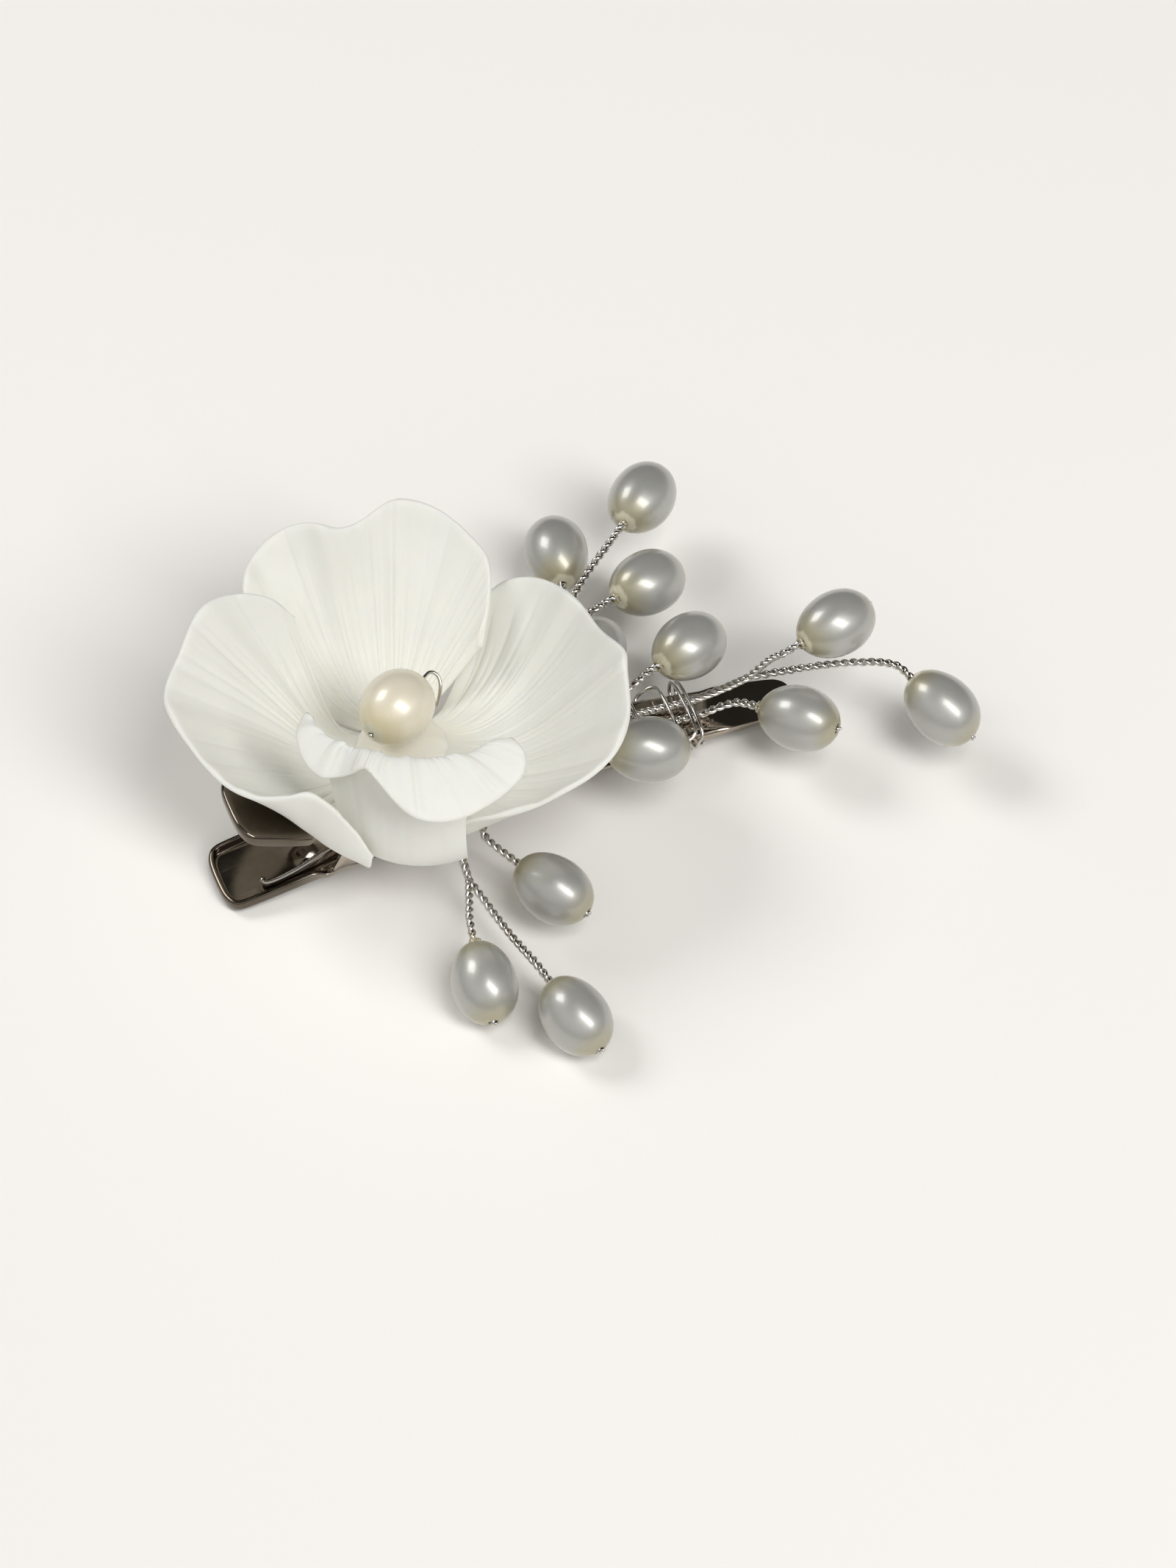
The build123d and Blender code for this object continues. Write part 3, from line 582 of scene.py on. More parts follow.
# A petal is laid out by rows of (turn, reach, height) from root to rim, each with its first edge,
# middle and last edge, and by the points of its ruffled rim. It lies in the cup as in a pinwheel:
# its first edge inside the petal before it, its last edge outside the petal after it.
ROOT = 4.75
PETALS = {
    "left": {
        "rows": [((140, ROOT, 1.5), (175, ROOT, 1.5), (216, ROOT, 1.0)),
                 ((127, 8.5, 1.2), (175, 8.5, 1.1), (227, 8.8, -0.5)),
                 ((116, 13.0, 5.6), (172, 14.0, 3.9), (236, 13.9, -0.7))],
        "rim": [(114, 15.8, 10.5), (122, 18.4, 13.4), (136, 21.3, 15.0), (150, 22.4, 13.2),
                (163, 23.6, 12.2), (177, 22.1, 11.2), (189, 20.9, 10.0), (201, 18.9, 9.2),
                (213, 16.2, 9.8), (225, 14.9, 7.4), (237, 14.6, 1.6)],
    },
    "back": {
        "rows": [((50, ROOT, 1.6), (82, ROOT, 1.4), (116, ROOT, 1.1)),
                 ((43, 8.2, 1.2), (82, 8.5, 0.6), (121, 8.7, -0.2)),
                 ((34, 12.3, 4.0), (80, 13.4, 3.2), (125, 14.5, 3.6))],
        "rim": [(31, 13.4, 5.4), (35, 16.4, 8.6), (40, 19.2, 11.2), (47, 20.6, 12.4),
                (58, 22.3, 14.0), (69, 22.4, 15.0), (76, 21.4, 14.2), (85, 20.3, 14.0),
                (93, 21.2, 15.0), (101, 22.8, 14.2), (110, 22.6, 13.0), (118, 21.0, 11.6),
                (126, 18.2, 7.6)],
    },
    "right": {
        "rows": [((-64, ROOT, 1.6), (-18, ROOT, 1.4), (34, ROOT, 1.0)),
                 ((-74, 8.0, 0.9), (-18, 8.6, 0.2), (39, 8.9, -0.5)),
                 ((-82, 12.6, 1.0), (-18, 14.4, 2.0), (42, 14.6, 1.6))],
        "rim": [(-84, 13.2, 2.4), (-76, 14.6, 4.0), (-66, 17.6, 5.6), (-56, 20.4, 7.4),
                (-47, 22.7, 8.6), (-39, 24.1, 10.0), (-30, 24.1, 11.2), (-21, 23.6, 12.4),
                (-15, 23.4, 13.0), (-5, 21.9, 11.8), (6, 21.6, 11.2), (17, 21.5, 10.6),
                (28, 21.1, 9.4), (37, 19.6, 7.6), (43, 17.2, 5.0)],
    },
    "front": {
        "rows": [((-144, ROOT, 1.5), (-110, ROOT, 1.3), (-76, ROOT, 1.0)),
                 ((-136, 8.2, 0.9), (-110, 8.5, -0.2), (-80, 8.9, -0.75)),
                 ((-136, 12.0, 0.8), (-112, 13.2, -0.6), (-84, 14.8, 0.0)),
                 ((-142, 12.0, 6.0), (-112, 12.9, 6.0), (-83, 15.0, 5.6)),
                 ((-158, 10.6, 13.0), (-112, 11.6, 13.6), (-70, 14.0, 13.0))],
        "rim": [(-172, 11.0, 13.4), (-160, 13.2, 12.8), (-148, 14.2, 11.4), (-138, 13.8, 11.4),
                (-130, 13.6, 13.0), (-123, 13.8, 14.4), (-115, 15.4, 13.6), (-106, 17.9, 12.0),
                (-96, 19.0, 11.1), (-86, 19.2, 11.2), (-76, 19.2, 11.9), (-67, 19.0, 13.0),
                (-60, 17.0, 14.0)],
    },
}
ACROSS = 240            # points across a petal
ALONG = 64              # points from its root to its rim


def three_way(row, share):
    """A row's values at a share of its length, through its three points."""
    first, middle, last = (np.array(p, float) for p in row)
    a = 2 * (share - 0.5) * (share - 1)
    b = 4 * share * (1 - share)
    c = 2 * share * (share - 0.5)
    return a * first + b * middle + c * last


def through(points, where):
    """Natural cubic lines through columns of points, at places counted in points."""
    last = len(points) - 1
    system = np.eye(last + 1)
    pull = np.zeros_like(points)
    for i in range(1, last):
        system[i, i - 1:i + 2] = (1, 4, 1)
        pull[i] = 6 * (points[i - 1] - 2 * points[i] + points[i + 1])
    pull = np.tensordot(np.linalg.inv(system), pull, axes=1)
    i = np.clip(where.astype(int), 0, last - 1)
    columns = np.arange(points.shape[1])
    b = (where - i)[..., None]
    a = 1 - b
    return (a * points[i, columns] + b * points[i + 1, columns]
            + ((a ** 3 - a) * pull[i, columns] + (b ** 3 - b) * pull[i + 1, columns]) / 6)


def petal_sheet(petal):
    """The petal's inner face as a grid of points, with rounded corners at the rim."""
    count = len(petal["rim"])
    rows = [[three_way(row, i / (count - 1)) for i in range(count)] for row in petal["rows"]]
    rows.append([np.array(p, float) for p in petal["rim"]])
    points = np.array([[in_flower(*p) for p in row] for row in rows])
    share = np.linspace(0, 1, ACROSS)
    where = np.repeat((share * (count - 1))[:, None], len(rows), axis=1)
    spread = through(points.transpose(1, 0, 2), where).transpose(1, 0, 2)
    corner = 0.05
    edge = np.minimum(np.minimum(share, 1 - share) / corner, 1)
    reach = 1 - 0.05 * (1 - np.sqrt(1 - (1 - edge) ** 2))
    out = np.linspace(0, 1, ALONG)[:, None] * reach[None, :] * (len(rows) - 1)
    return through(spread, out), share, np.linspace(0, 1, ALONG)


def pressed_veins(share, out, count, draw):
    """How deep the veins are at each point of a petal, from 0 to about 1."""
    across, outward = np.meshgrid(share, out)
    depth = np.zeros_like(across)
    for k in range(count):
        centre = (k + 0.5 + draw.uniform(-0.42, 0.42)) / count
        sway = draw.uniform(-0.02, 0.02)
        start = draw.uniform(0.02, 0.45)
        stop = draw.uniform(0.75, 1.2)
        width = draw.uniform(0.0035, 0.0085)
        strength = draw.uniform(0.25, 1.0)
        line = centre + sway * (outward - 0.4) ** 2 + 0.002 * np.sin(outward * 9 + k)
        held = ease(start, start + 0.15, outward) * (1 - ease(stop - 0.15, stop, outward))
        depth += strength * held * np.exp(-((across - line) / width) ** 2)
    return depth


def broad_folds(share, out, draw):
    """Soft waves across a petal that grow towards its rim."""
    across, outward = np.meshgrid(share, out)
    waves = np.zeros_like(across)
    for count in (5, 8, 13):
        waves += np.sin(2 * math.pi * (count * across + draw.random())) / math.sqrt(count)
    return waves * ease(0.15, 0.9, outward)


def petal_shape(petal, sizes, seed):
    """A closed petal: inner face with veins and folds, rounded rim, smoother outer face."""
    draw = random.Random(seed)
    sheet, share, out = petal_sheet(petal)
    along = np.gradient(sheet, axis=0)
    across = np.gradient(sheet, axis=1)
    inward = np.cross(along, across)
    inward /= np.linalg.norm(inward, axis=2)[..., None]
    veins = pressed_veins(share, out, sizes.veins, draw)
    folds = broad_folds(share, out, draw)
    thick = sizes.thickness + (sizes.rim_thickness - sizes.thickness) * ease(0.3, 1, out)
    fade = (ease(0, 0.02, share) * (1 - ease(0.98, 1, share)))[None, :]
    lift = sizes.fold_depth * folds - sizes.vein_depth * veins * fade
    inner = sheet + inward * (lift - thick[:, None] * 0.12)[..., None]
    under = sizes.fold_depth * 0.2 * folds
    outer = sheet + inward * (under - thick[:, None])[..., None]
    loop = ([(0, j) for j in range(ACROSS)] + [(i, ACROSS - 1) for i in range(1, ALONG)]
            + [(ALONG - 1, j) for j in range(ACROSS - 2, -1, -1)]
            + [(i, 0) for i in range(ALONG - 2, 0, -1)])
    points = [Vector(p) for p in inner.reshape(-1, 3)] + [Vector(p) for p in outer.reshape(-1, 3)]
    offset = ACROSS * ALONG
    faces = []
    for i in range(ALONG - 1):
        for j in range(ACROSS - 1):
            a, b = i * ACROSS + j, i * ACROSS + j + 1
            c, d = b + ACROSS, a + ACROSS
            faces.append((a, b, c, d))
            faces.append((d + offset, c + offset, b + offset, a + offset))
    rounds = 4
    ring = [[i * ACROSS + j for i, j in loop]]
    for k in range(1, rounds):
        angle = math.pi * k / rounds
        start = len(points)
        for i, j in loop:
            top, low = inner[i, j], outer[i, j]
            middle, half = (top + low) / 2, (top - low) / 2
            side = np.zeros(3)
            if i == 0:
                side = side - along[i, j] / np.linalg.norm(along[i, j])
            if i == ALONG - 1:
                side = side + along[i, j] / np.linalg.norm(along[i, j])
            if j == 0:
                side = side - across[i, j] / np.linalg.norm(across[i, j])
            if j == ACROSS - 1:
                side = side + across[i, j] / np.linalg.norm(across[i, j])
            side = side / max(np.linalg.norm(side), 1e-9)
            points.append(Vector(middle + half * math.cos(angle)
                                 + side * np.linalg.norm(half) * math.sin(angle)))
        ring.append(list(range(start, start + len(loop))))
    ring.append([i * ACROSS + j + offset for i, j in loop])
    for one, two in zip(ring, ring[1:]):
        for k in range(len(loop)):
            n = (k + 1) % len(loop)
            faces.append((one[k], one[n], two[n], two[k]))
    return points, faces


class ClipBuildPetals(bpy.types.Operator):
    """Shape the four clay petals with their ruffled rims and pressed veins"""
    bl_idname = "hair_clip.build_petals"
    bl_label = "Petals"

    def execute(self, context):
        look = context.scene.hair_clip
        for number, (name, petal) in enumerate(PETALS.items()):
            points, faces = petal_shape(petal, look.flower, 40 + number)
            piece("clay_petal_" + name, points, faces, in_flower(0, 0, 0), "upper_body",
                  "petal_clay", ["petal_" + name], "satin clay")
        return {"FINISHED"}


def core_shape(sizes):
    """The flower's middle: a dished boss with creases that run into the petals."""
    draw = random.Random(7)
    creases = [draw.uniform(0.4, 1.0) for _ in range(14)]
    profile = [(0.0, 0.05), (0.55, 0.0), (0.92, 0.02), (1.0, 0.14), (0.99, 0.28), (0.93, 0.42),
               (0.84, 0.54), (0.72, 0.64), (0.58, 0.72), (0.42, 0.78), (0.22, 0.82), (0.0, 0.84)]
    rings = []
    for r, z in profile:
        ring = []
        for k in range(96):
            turn = 360 * k / 96
            wave = math.sin(math.radians(turn * 14)) * creases[int(turn / 360 * 14) % 14]
            reach = sizes.core_radius / MM * r * (1 + 0.02 * wave * r)
            ring.append(in_flower(turn, reach, sizes.core_height / MM * z))
        rings.append(ring)
    return wrapped(rings)


class ClipBuildCore(bpy.types.Operator):
    """Shape the clay middle of the flower"""
    bl_idname = "hair_clip.build_core"
    bl_label = "Flower core"

    def execute(self, context):
        points, faces = core_shape(context.scene.hair_clip.flower)
        piece("clay_core", points, faces, in_flower(0, 0, 0), "upper_body", "core_clay",
              ["flower_core"], "satin clay")
        return {"FINISHED"}


# ---------------------------------------------------------------------------------------------
# Pearls, stems and trunks
# ---------------------------------------------------------------------------------------------

DROP = 3.6              # height of a pearl's centre when it all but touches the table
# centre of each pearl, its heading in plan and its dip below level, from the stem outwards
PEARLS = {
    "01": ((37.7, 25.3, 9.0), 42, 9),
    "02": ((27.0, 23.9, 6.0), 77, 5),
    "03": ((33.8, 14.0, 9.5), 20, 16),
    "04": ((26.4, 11.4, DROP), 46, 0),
    "05": ((34.9, 4.7, 9.25), 23, 12),
    "06": ((25.75, -6.67, 9.77), -12, 14),
    "07": ((49.5, -0.8, 13.0), 15, 3),
    "08": ((57.1, -12.1, 8.0), -61, 22),
    "09": ((42.7, -7.4, 7.6), -46, -8),
    "10": ((10.9, -16.9, 5.5), -58, 9),
    "11": ((0.2, -24.1, DROP), -98, 14),
    "12": ((7.6, -31.4, DROP), -75, 14),
}
FAT_END = 0.53          # share of a pearl's length before its widest place


def pearl_turn(heading, dip):
    """Turns a pearl made along X to its heading and dip."""
    return (Matrix.Rotation(math.radians(heading), 3, "Z")
            @ Matrix.Rotation(math.radians(dip), 3, "Y"))


def pearl_shape(long, wide, bore, seed):
    """A bead drilled along X, a little uneven, with a chipped edge at each hole."""
    draw = random.Random(seed)
    tilt = draw.uniform(-0.02, 0.02)
    half = long / 2
    hole = bore / 2
    shift = long * (0.5 - FAT_END)
    steps = 44
    rings = []
    stop = math.asin(min(0.9, hole / (wide / 2)) * 1.25)
    angles = [stop + (math.pi - 2 * stop) * k / steps for k in range(steps + 1)]
    profile = [(-half * math.cos(t), wide / 2 * math.sin(t)) for t in angles]
    first, last = profile[0], profile[-1]
    lip = [(last[0] + 0.02 * MM, (last[1] + hole) / 2), (last[0] - 0.16 * MM, hole),
           (0.0, hole), (first[0] + 0.16 * MM, hole), (first[0] - 0.02 * MM, (first[1] + hole) / 2)]
    profile += lip
    count = 72
    for k in range(count):
        angle = 2 * math.pi * k / count
        ring = []
        for x, r in profile:
            egg = 1 + 0.055 * x / half
            spot = Vector((x, r * math.cos(angle) * egg, r * math.sin(angle) * egg))
            lumps = noise.noise(spot * 260 + Vector((seed, 0, 0))) * 0.05 * MM
            near_hole = max(0.0, 1 - (r - hole) / (0.55 * MM)) if r > hole * 1.02 else 0.0
            chips = near_hole * noise.noise(spot * 2600 + Vector((0, seed, 0))) * 0.22 * MM
            grown = spot * (1 + (lumps / max(spot.length, 1e-6) if r > hole * 1.02 else 0))
            grown.x += math.copysign(chips, -x) + shift + tilt * spot.y
            ring.append(grown)
        rings.append(ring)
    return wrapped(rings, closed_along=True)


PEARL_SEAT = 7.9        # height of the centre pearl's middle in the flower
CENTRE_HEADING = 32.0
CENTRE_BORE = 0.8       # its hole as a share of the other pearls' holes
CENTRE_SEED = 30


class ClipBuildPearls(bpy.types.Operator):
    """Turn the twelve pearls of the sprigs and the pearl in the flower"""
    bl_idname = "hair_clip.build_pearls"
    bl_label = "Pearls"

    def execute(self, context):
        sizes = context.scene.hair_clip.pearl
        for number, (centre, heading, dip) in PEARLS.items():
            shape = pearl_shape(sizes.length, sizes.width, sizes.bore, int(number))
            piece("pearl_bead_" + number, *shape, at(*centre), "upper_body", "silver_pearl",
                  ["rice_pearl_" + number], "silver pearl", pearl_turn(heading, dip))
        shape = pearl_shape(sizes.centre_length, sizes.centre_width,
                            sizes.bore * CENTRE_BORE, CENTRE_SEED)
        piece("pearl_bead_centre", *shape, in_flower(0, 0, PEARL_SEAT), "upper_body", "cream_pearl",
              ["centre_pearl"], "cream pearl", pearl_turn(CENTRE_HEADING, 0))
        return {"FINISHED"}


def bent_height(line, radii, x):
    """Height at x of a line of straight runs whose corners are eased into bends."""
    slopes = [(b[1] - a[1]) / (b[0] - a[0]) for a, b in zip(line, line[1:])]
    for (corner_x, corner_z), radius, before, after in zip(line[1:], radii, slopes, slopes[1:]):
        reach = radius * abs(math.atan(after) - math.atan(before)) / 2
        if abs(x - corner_x) < reach:
            step = x - corner_x
            return corner_z + before * step + (after - before) * (step + reach) ** 2 / 4 / reach
    for (x0, z0), (x1, _), slope in zip(line, line[1:], slopes):
        if x <= x1:
            return z0 + slope * (x - x0)
    return line[-1][1]


SHEET = 0.6
UPPER_LINE = [(-20.0, 13.92), (-8.4, 8.0), (-3.0, 6.95), (20.0, 5.8), (47.0, 0.53)]
UPPER_BENDS = [3, 8, 30]
LOWER_LINE = [(-22.0, -0.14), (-1.5, 2.95), (20.0, 2.4), (47.0, 0.02)]
LOWER_BENDS = [20, 30]
TRUNK = 1.1
STEM = 0.8
LAY_GAP = 0.05          # a wire that lies on the jaw


def upper_z(x):
    return bent_height(UPPER_LINE, UPPER_BENDS, x)


def lower_z(x):
    return bent_height(LOWER_LINE, LOWER_BENDS, x)


def lying(x, y, width):
    """A point of a wire that lies on the upper jaw."""
    return (x, y, upper_z(x) + SHEET + width / 2 + LAY_GAP)


BACK_FORK = (19.5, 8.6, 8.9)
TIP_FORK = (39.6, -0.4, 7.7)
FRONT_FORK = (3.2, -11.8, 4.6)
TRUNKS = {
    "back": [BACK_FORK, (14.5, 4.9, 8.5), lying(11.0, 2.5, TRUNK), lying(6.8, 2.4, TRUNK)],
    "tip": [TIP_FORK, (36.0, 0.5, 5.4), lying(31.5, 0.95, TRUNK), lying(20.0, 0.9, TRUNK),
            lying(6.8, 0.8, TRUNK)],
    "front": [FRONT_FORK, (3.1, -8.4, 5.9), (5.4, -5.3, 7.75), lying(8.4, -2.2, TRUNK),
              lying(12.0, -1.9, TRUNK)],
}
STEMS = {
    "01": [BACK_FORK, (25.4, 15.6, 9.2)],
    "02": [BACK_FORK, (23.6, 14.2, 6.9)],
    "03": [BACK_FORK, (25.9, 12.3, 9.9)],
    "04": [BACK_FORK, (21.3, 7.6, 5.6)],
    "05": [lying(13.4, 2.7, STEM), lying(18.5, 2.6, STEM), (26.4, 2.2, 8.4)],
    "06": [lying(13.2, -3.1, STEM), lying(16.6, -3.2, STEM), (19.2, -4.0, 9.3)],
    "07": [TIP_FORK, (41.6, -1.0, 10.9)],
    "08": [TIP_FORK, (43.4, -1.9, 9.0), (49.0, -4.0, 10.2)],
    "09": [lying(12.0, -0.75, STEM), lying(20.0, -0.75, STEM), lying(33.6, -0.9, STEM),
           (36.0, -1.4, 5.6)],
    "10": [lying(12.4, -3.3, STEM), (8.2, -4.9, 7.9), (5.9, -8.0, 6.5)],
    "11": [FRONT_FORK, (2.2, -14.6, 5.0)],
    "12": [FRONT_FORK, (4.6, -18.8, 4.0)],
}
STEM_LEAD = 2.4         # straight run of a stem before its pearl


class ClipBuildStems(bpy.types.Operator):
    """Twist the twelve stems and run each one through its pearl"""
    bl_idname = "hair_clip.build_stems"
    bl_label = "Stems"

    def execute(self, context):
        look = context.scene.hair_clip
        for number, start in STEMS.items():
            centre, heading, dip = PEARLS[number]
            middle = at(*centre)
            ahead = pearl_turn(heading, dip) @ Vector((1, 0, 0))
            hole = middle - ahead * look.pearl.length * FAT_END
            entry = hole - ahead * STEM_LEAD * MM
            far_end = middle + ahead * (look.pearl.length * (1 - FAT_END) + 0.2 * MM)
            points = [at(*p) for p in start] + [entry, hole, middle, far_end]
            shape = twisted(points, 2, look.wire.strand, look.wire.pitch, 100 + int(number))
            piece("twisted_stem_" + number, *shape, middle, "upper_body", "stem_wire",
                  ["stem_" + number], "silver wire")
        return {"FINISHED"}


class ClipBuildTrunks(bpy.types.Operator):
    """Twist the three trunks that carry the stems"""
    bl_idname = "hair_clip.build_trunks"
    bl_label = "Trunks"

    def execute(self, context):
        sizes = context.scene.hair_clip.wire
        for number, (name, points) in enumerate(TRUNKS.items()):
            shape = twisted([at(*p) for p in points], 4, sizes.trunk_strand, sizes.trunk_pitch,
                            200 + number)
            piece("twisted_trunk_" + name, *shape, at(*points[0]), "upper_body", "stem_wire",
                  ["trunk_" + name], "silver wire")
        return {"FINISHED"}


# ---------------------------------------------------------------------------------------------
# Binding wire, centre wire and glue
# ---------------------------------------------------------------------------------------------

JAW_HALF = 3.9
JAW_RIM = 0.5
WINDING_GAP = 0.22      # a loop's axis is this far outside the jaw
LOOSE = 0.12            # how far a loop may stand up over its load


def winding(loops, seed):
    """One wire wound round the upper jaw. Each loop has its x at the top and at the underside, and
    how high its load stands."""
    draw = random.Random(seed)
    points = []
    for x_top, x_low, load in loops:
        half = JAW_HALF + WINDING_GAP
        high = upper_z(x_top) + SHEET + load + 0.2
        low = upper_z(x_low) - JAW_RIM - WINDING_GAP
        mid_x, mid_z = (x_top + x_low) / 2, (high + low) / 2
        lift = draw.uniform(0.0, LOOSE)
        points += [(x_top, -half * 0.94, high - 0.6), (x_top, -half * 0.5, high - 0.08 + lift),
                   (x_top, half * 0.5, high - 0.08 + lift), (x_top, half * 0.94, high - 0.6),
                   (mid_x, half, mid_z), (x_low, half * 0.96, low + 0.15),
                   (x_low, half * 0.3, low), (x_low, -half * 0.3, low),
                   (x_low, -half * 0.96, low + 0.15), (mid_x, -half, mid_z)]
    return [at(*p) for p in points]


JAW_LOOPS = [(26.2, 26.2, 1.1), (26.9, 26.8, 1.15), (30.6, 28.0, 1.3), (32.4, 32.2, 1.6),
             (33.0, 32.9, 1.65)]


class ClipBuildBinding(bpy.types.Operator):
    """Wind the fine binding wire round the jaw and the stems that lie on it"""
    bl_idname = "hair_clip.build_binding"
    bl_label = "Binding wire"

    def execute(self, context):
        width = context.scene.hair_clip.wire.binding
        points = winding(JAW_LOOPS, 5)
        line, _ = evenly(route(points), 0.22 * MM)
        shape = round_wire(line, rounded_ends(width / 2, len(line)), sides=10)
        piece("wound_wire_jaw", *shape, points[0], "upper_body", "binding_wire",
              ["binding_wire_jaw"], "binding wire")
        return {"FINISHED"}


class ClipBuildCentreWire(bpy.types.Operator):
    """Bend the fine wire that holds the pearl in the flower"""
    bl_idname = "hair_clip.build_centre_wire"
    bl_label = "Centre wire"

    def execute(self, context):
        look = context.scene.hair_clip
        centre = in_flower(0, 0, PEARL_SEAT)
        out = pearl_turn(CENTRE_HEADING, 0) @ Vector((1, 0, 0))
        aside = Vector((-out.y, out.x, 0))
        up = Vector((0, 0, MM))
        half = look.pearl.centre_length / 2
        hole = centre + out * half
        points = [centre - out * (half + 0.4 * MM), centre, hole + out * 0.2 * MM + up * 0.1,
                  hole + out * 1.2 * MM + up * 0.1,
                  hole + out * 1.6 * MM - aside * 0.9 * MM - up * 0.5,
                  hole + out * 0.7 * MM - aside * 1.8 * MM - up * 1.5,
                  hole - out * 0.4 * MM - aside * 2.0 * MM - up * 3.0]
        line, _ = evenly(route(points), 0.12 * MM)
        shape = round_wire(line, rounded_ends(look.wire.centre / 2, len(line)), sides=12)
        piece("centre_pearl_wire", *shape, centre, "upper_body", "binding_wire",
              ["centre_wire"], "binding wire")
        return {"FINISHED"}


GLUED = ("01", "03", "05", "07", "09", "11")


def glue_collar(hole, ahead, draw):
    """A small uneven ring of set glue where a stem enters its pearl."""
    turn = ahead.to_track_quat("X", "Z").to_matrix()
    rings = []
    for k in range(28):
        angle = 2 * math.pi * k / 28
        swell = 1 + 0.35 * noise.noise(Vector((math.cos(angle) * 1.3, math.sin(angle) * 1.3,
                                               draw.uniform(0, 0.2) + hole.x * 900)))
        centre = Vector((-0.12 * MM, 0, 0)) + Vector((0, math.cos(angle), math.sin(angle))) * (
            0.5 * MM * swell)
        ring = []
        for j in range(12):
            t = 2 * math.pi * j / 12
            out = Vector((0, math.cos(angle), math.sin(angle))) * math.cos(t) * 0.17 * MM * swell
            ring.append(hole + turn @ (centre + out + Vector((math.sin(t) * 0.16 * MM, 0, 0))))
        rings.append(ring)
    return wrapped(rings, closed_along=True)


def glue_pad_shape():
    """The blob of glue between the upper arm and the flower's core."""
    low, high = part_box("glue_pad")
    middle, half = (low + high) / 2, (high - low) / 2
    rings = []
    for i in range(1, 24):
        tilt = math.pi * i / 24
        ring = []
        for k in range(56):
            turn = 2 * math.pi * k / 56
            shape = Vector((math.sin(tilt) * math.cos(turn), math.sin(tilt) * math.sin(turn),
                            math.cos(tilt)))
            squared = Vector([math.copysign(abs(c) ** 0.62, c) for c in shape])
            swell = 1 + 0.06 * noise.noise(shape * 2.2 + Vector((3, 1, 0)))
            ring.append(middle + Vector([h * s * swell for h, s in zip(half, squared)]))
        rings.append(ring)
    return wrapped(rings)


class ClipBuildGlue(bpy.types.Operator):
    """Set the glue under the flower and at the pearls' holes"""
    bl_idname = "hair_clip.build_glue"
    bl_label = "Glue"

    def execute(self, context):
        sizes = context.scene.hair_clip.pearl
        points, faces = glue_pad_shape()
        piece("set_glue_pad", points, faces, in_flower(0, 0, 0), "upper_body", "glue",
              ["glue_pad"], "set glue")
        draw = random.Random(11)
        for number in GLUED:
            centre, heading, dip = PEARLS[number]
            ahead = pearl_turn(heading, dip) @ Vector((1, 0, 0))
            hole = at(*centre) - ahead * sizes.length * FAT_END
            points, faces = glue_collar(hole, ahead, draw)
            piece("set_glue_" + number, points, faces, hole, "upper_body", "glue", [], "set glue")
        return {"FINISHED"}


# ---------------------------------------------------------------------------------------------
# The sprung clip
# ---------------------------------------------------------------------------------------------

def arm_outline(stations, end_bulge, tip_bulge):
    """Near side of an arm in plan, from the middle of its end to the middle of its tip."""
    end_x, end_half = stations[0]
    tip_x, tip_half = stations[-1]
    corner = 0.75
    points = [(end_x - end_bulge, 0), (end_x - end_bulge, -end_half * 0.45),
              (end_x - end_bulge * 0.72, -end_half * corner), (end_x - 0.1, -end_half)]
    points += [(x, -half) for x, half in stations[1:-1]]
    points += [(tip_x, -tip_half), (tip_x + tip_bulge * 0.75, -tip_half * corner),
               (tip_x + tip_bulge, -tip_half * 0.4), (tip_x + tip_bulge, 0)]
    line, _ = evenly(route([Vector((x, y, 0)) for x, y in points]), 0.3)
    return line[:, :2]


def quarter(centre_d, centre_h, radius, start, turn, steps=4):
    """Points of a quarter round in a section, from an angle through a turn, in degrees."""
    return [(centre_d + radius * math.cos(math.radians(start + turn * k / steps)),
             centre_h + radius * math.sin(math.radians(start + turn * k / steps)))
            for k in range(steps + 1)]


def section(sheet, rim):
    """Section of the sheet's edge as (distance inwards, height), from underside to floor."""
    outside = 0.1 + min(rim, 0.6)
    top = sheet + rim
    edge = 0.1 + min(rim, 0.17)
    inner_edge = min(edge, rim)
    inside = min(rim * 0.8, 0.3)
    return (quarter(outside, outside, outside, 270, -90)
            + quarter(edge, top - edge, edge, 180, -90)
            + quarter(sheet - inner_edge, top - inner_edge, inner_edge, 90, -90)
            + quarter(sheet + inside, sheet + inside, inside, 180, 90))


def channel(outline, height, rim, sheet, side, dimple=None):
    """A sheet arm with turned rims that point up (side 1) or down (side -1)."""
    heading = np.gradient(outline, axis=0)
    heading /= np.linalg.norm(heading, axis=1)[:, None]
    inwards = np.stack([-heading[:, 1], heading[:, 0]], axis=1)
    across = 22

    def spot(x, y, h):
        if dimple and h > sheet * 0.5:
            far = math.hypot(x - dimple[0], y - dimple[1]) / dimple[2]
            h -= dimple[3] * math.exp(-far * far)
        z = height(x) + (h if side > 0 else sheet - h)
        return at(x, y, z)

    rings = []
    for (x, y), inward in zip(outline, inwards):
        near = [(x + inward[0] * d, min(y + inward[1] * d, 0.0), h)
                for d, h in section(sheet, rim(x))]
        x_in, y_in, h_in = near[-1]
        x_out, y_out, h_out = near[0]
        floor = [(x_in, y_in * (1 - 2 * k / across), h_in) for k in range(1, across)]
        under = [(x_out, y_out * (2 * k / across - 1), h_out) for k in range(1, across)]
        far = [(a, -b, h) for a, b, h in reversed(near)]
        rings.append([spot(*p) for p in near + floor + far + under])
    return wrapped(rings, caps=False)


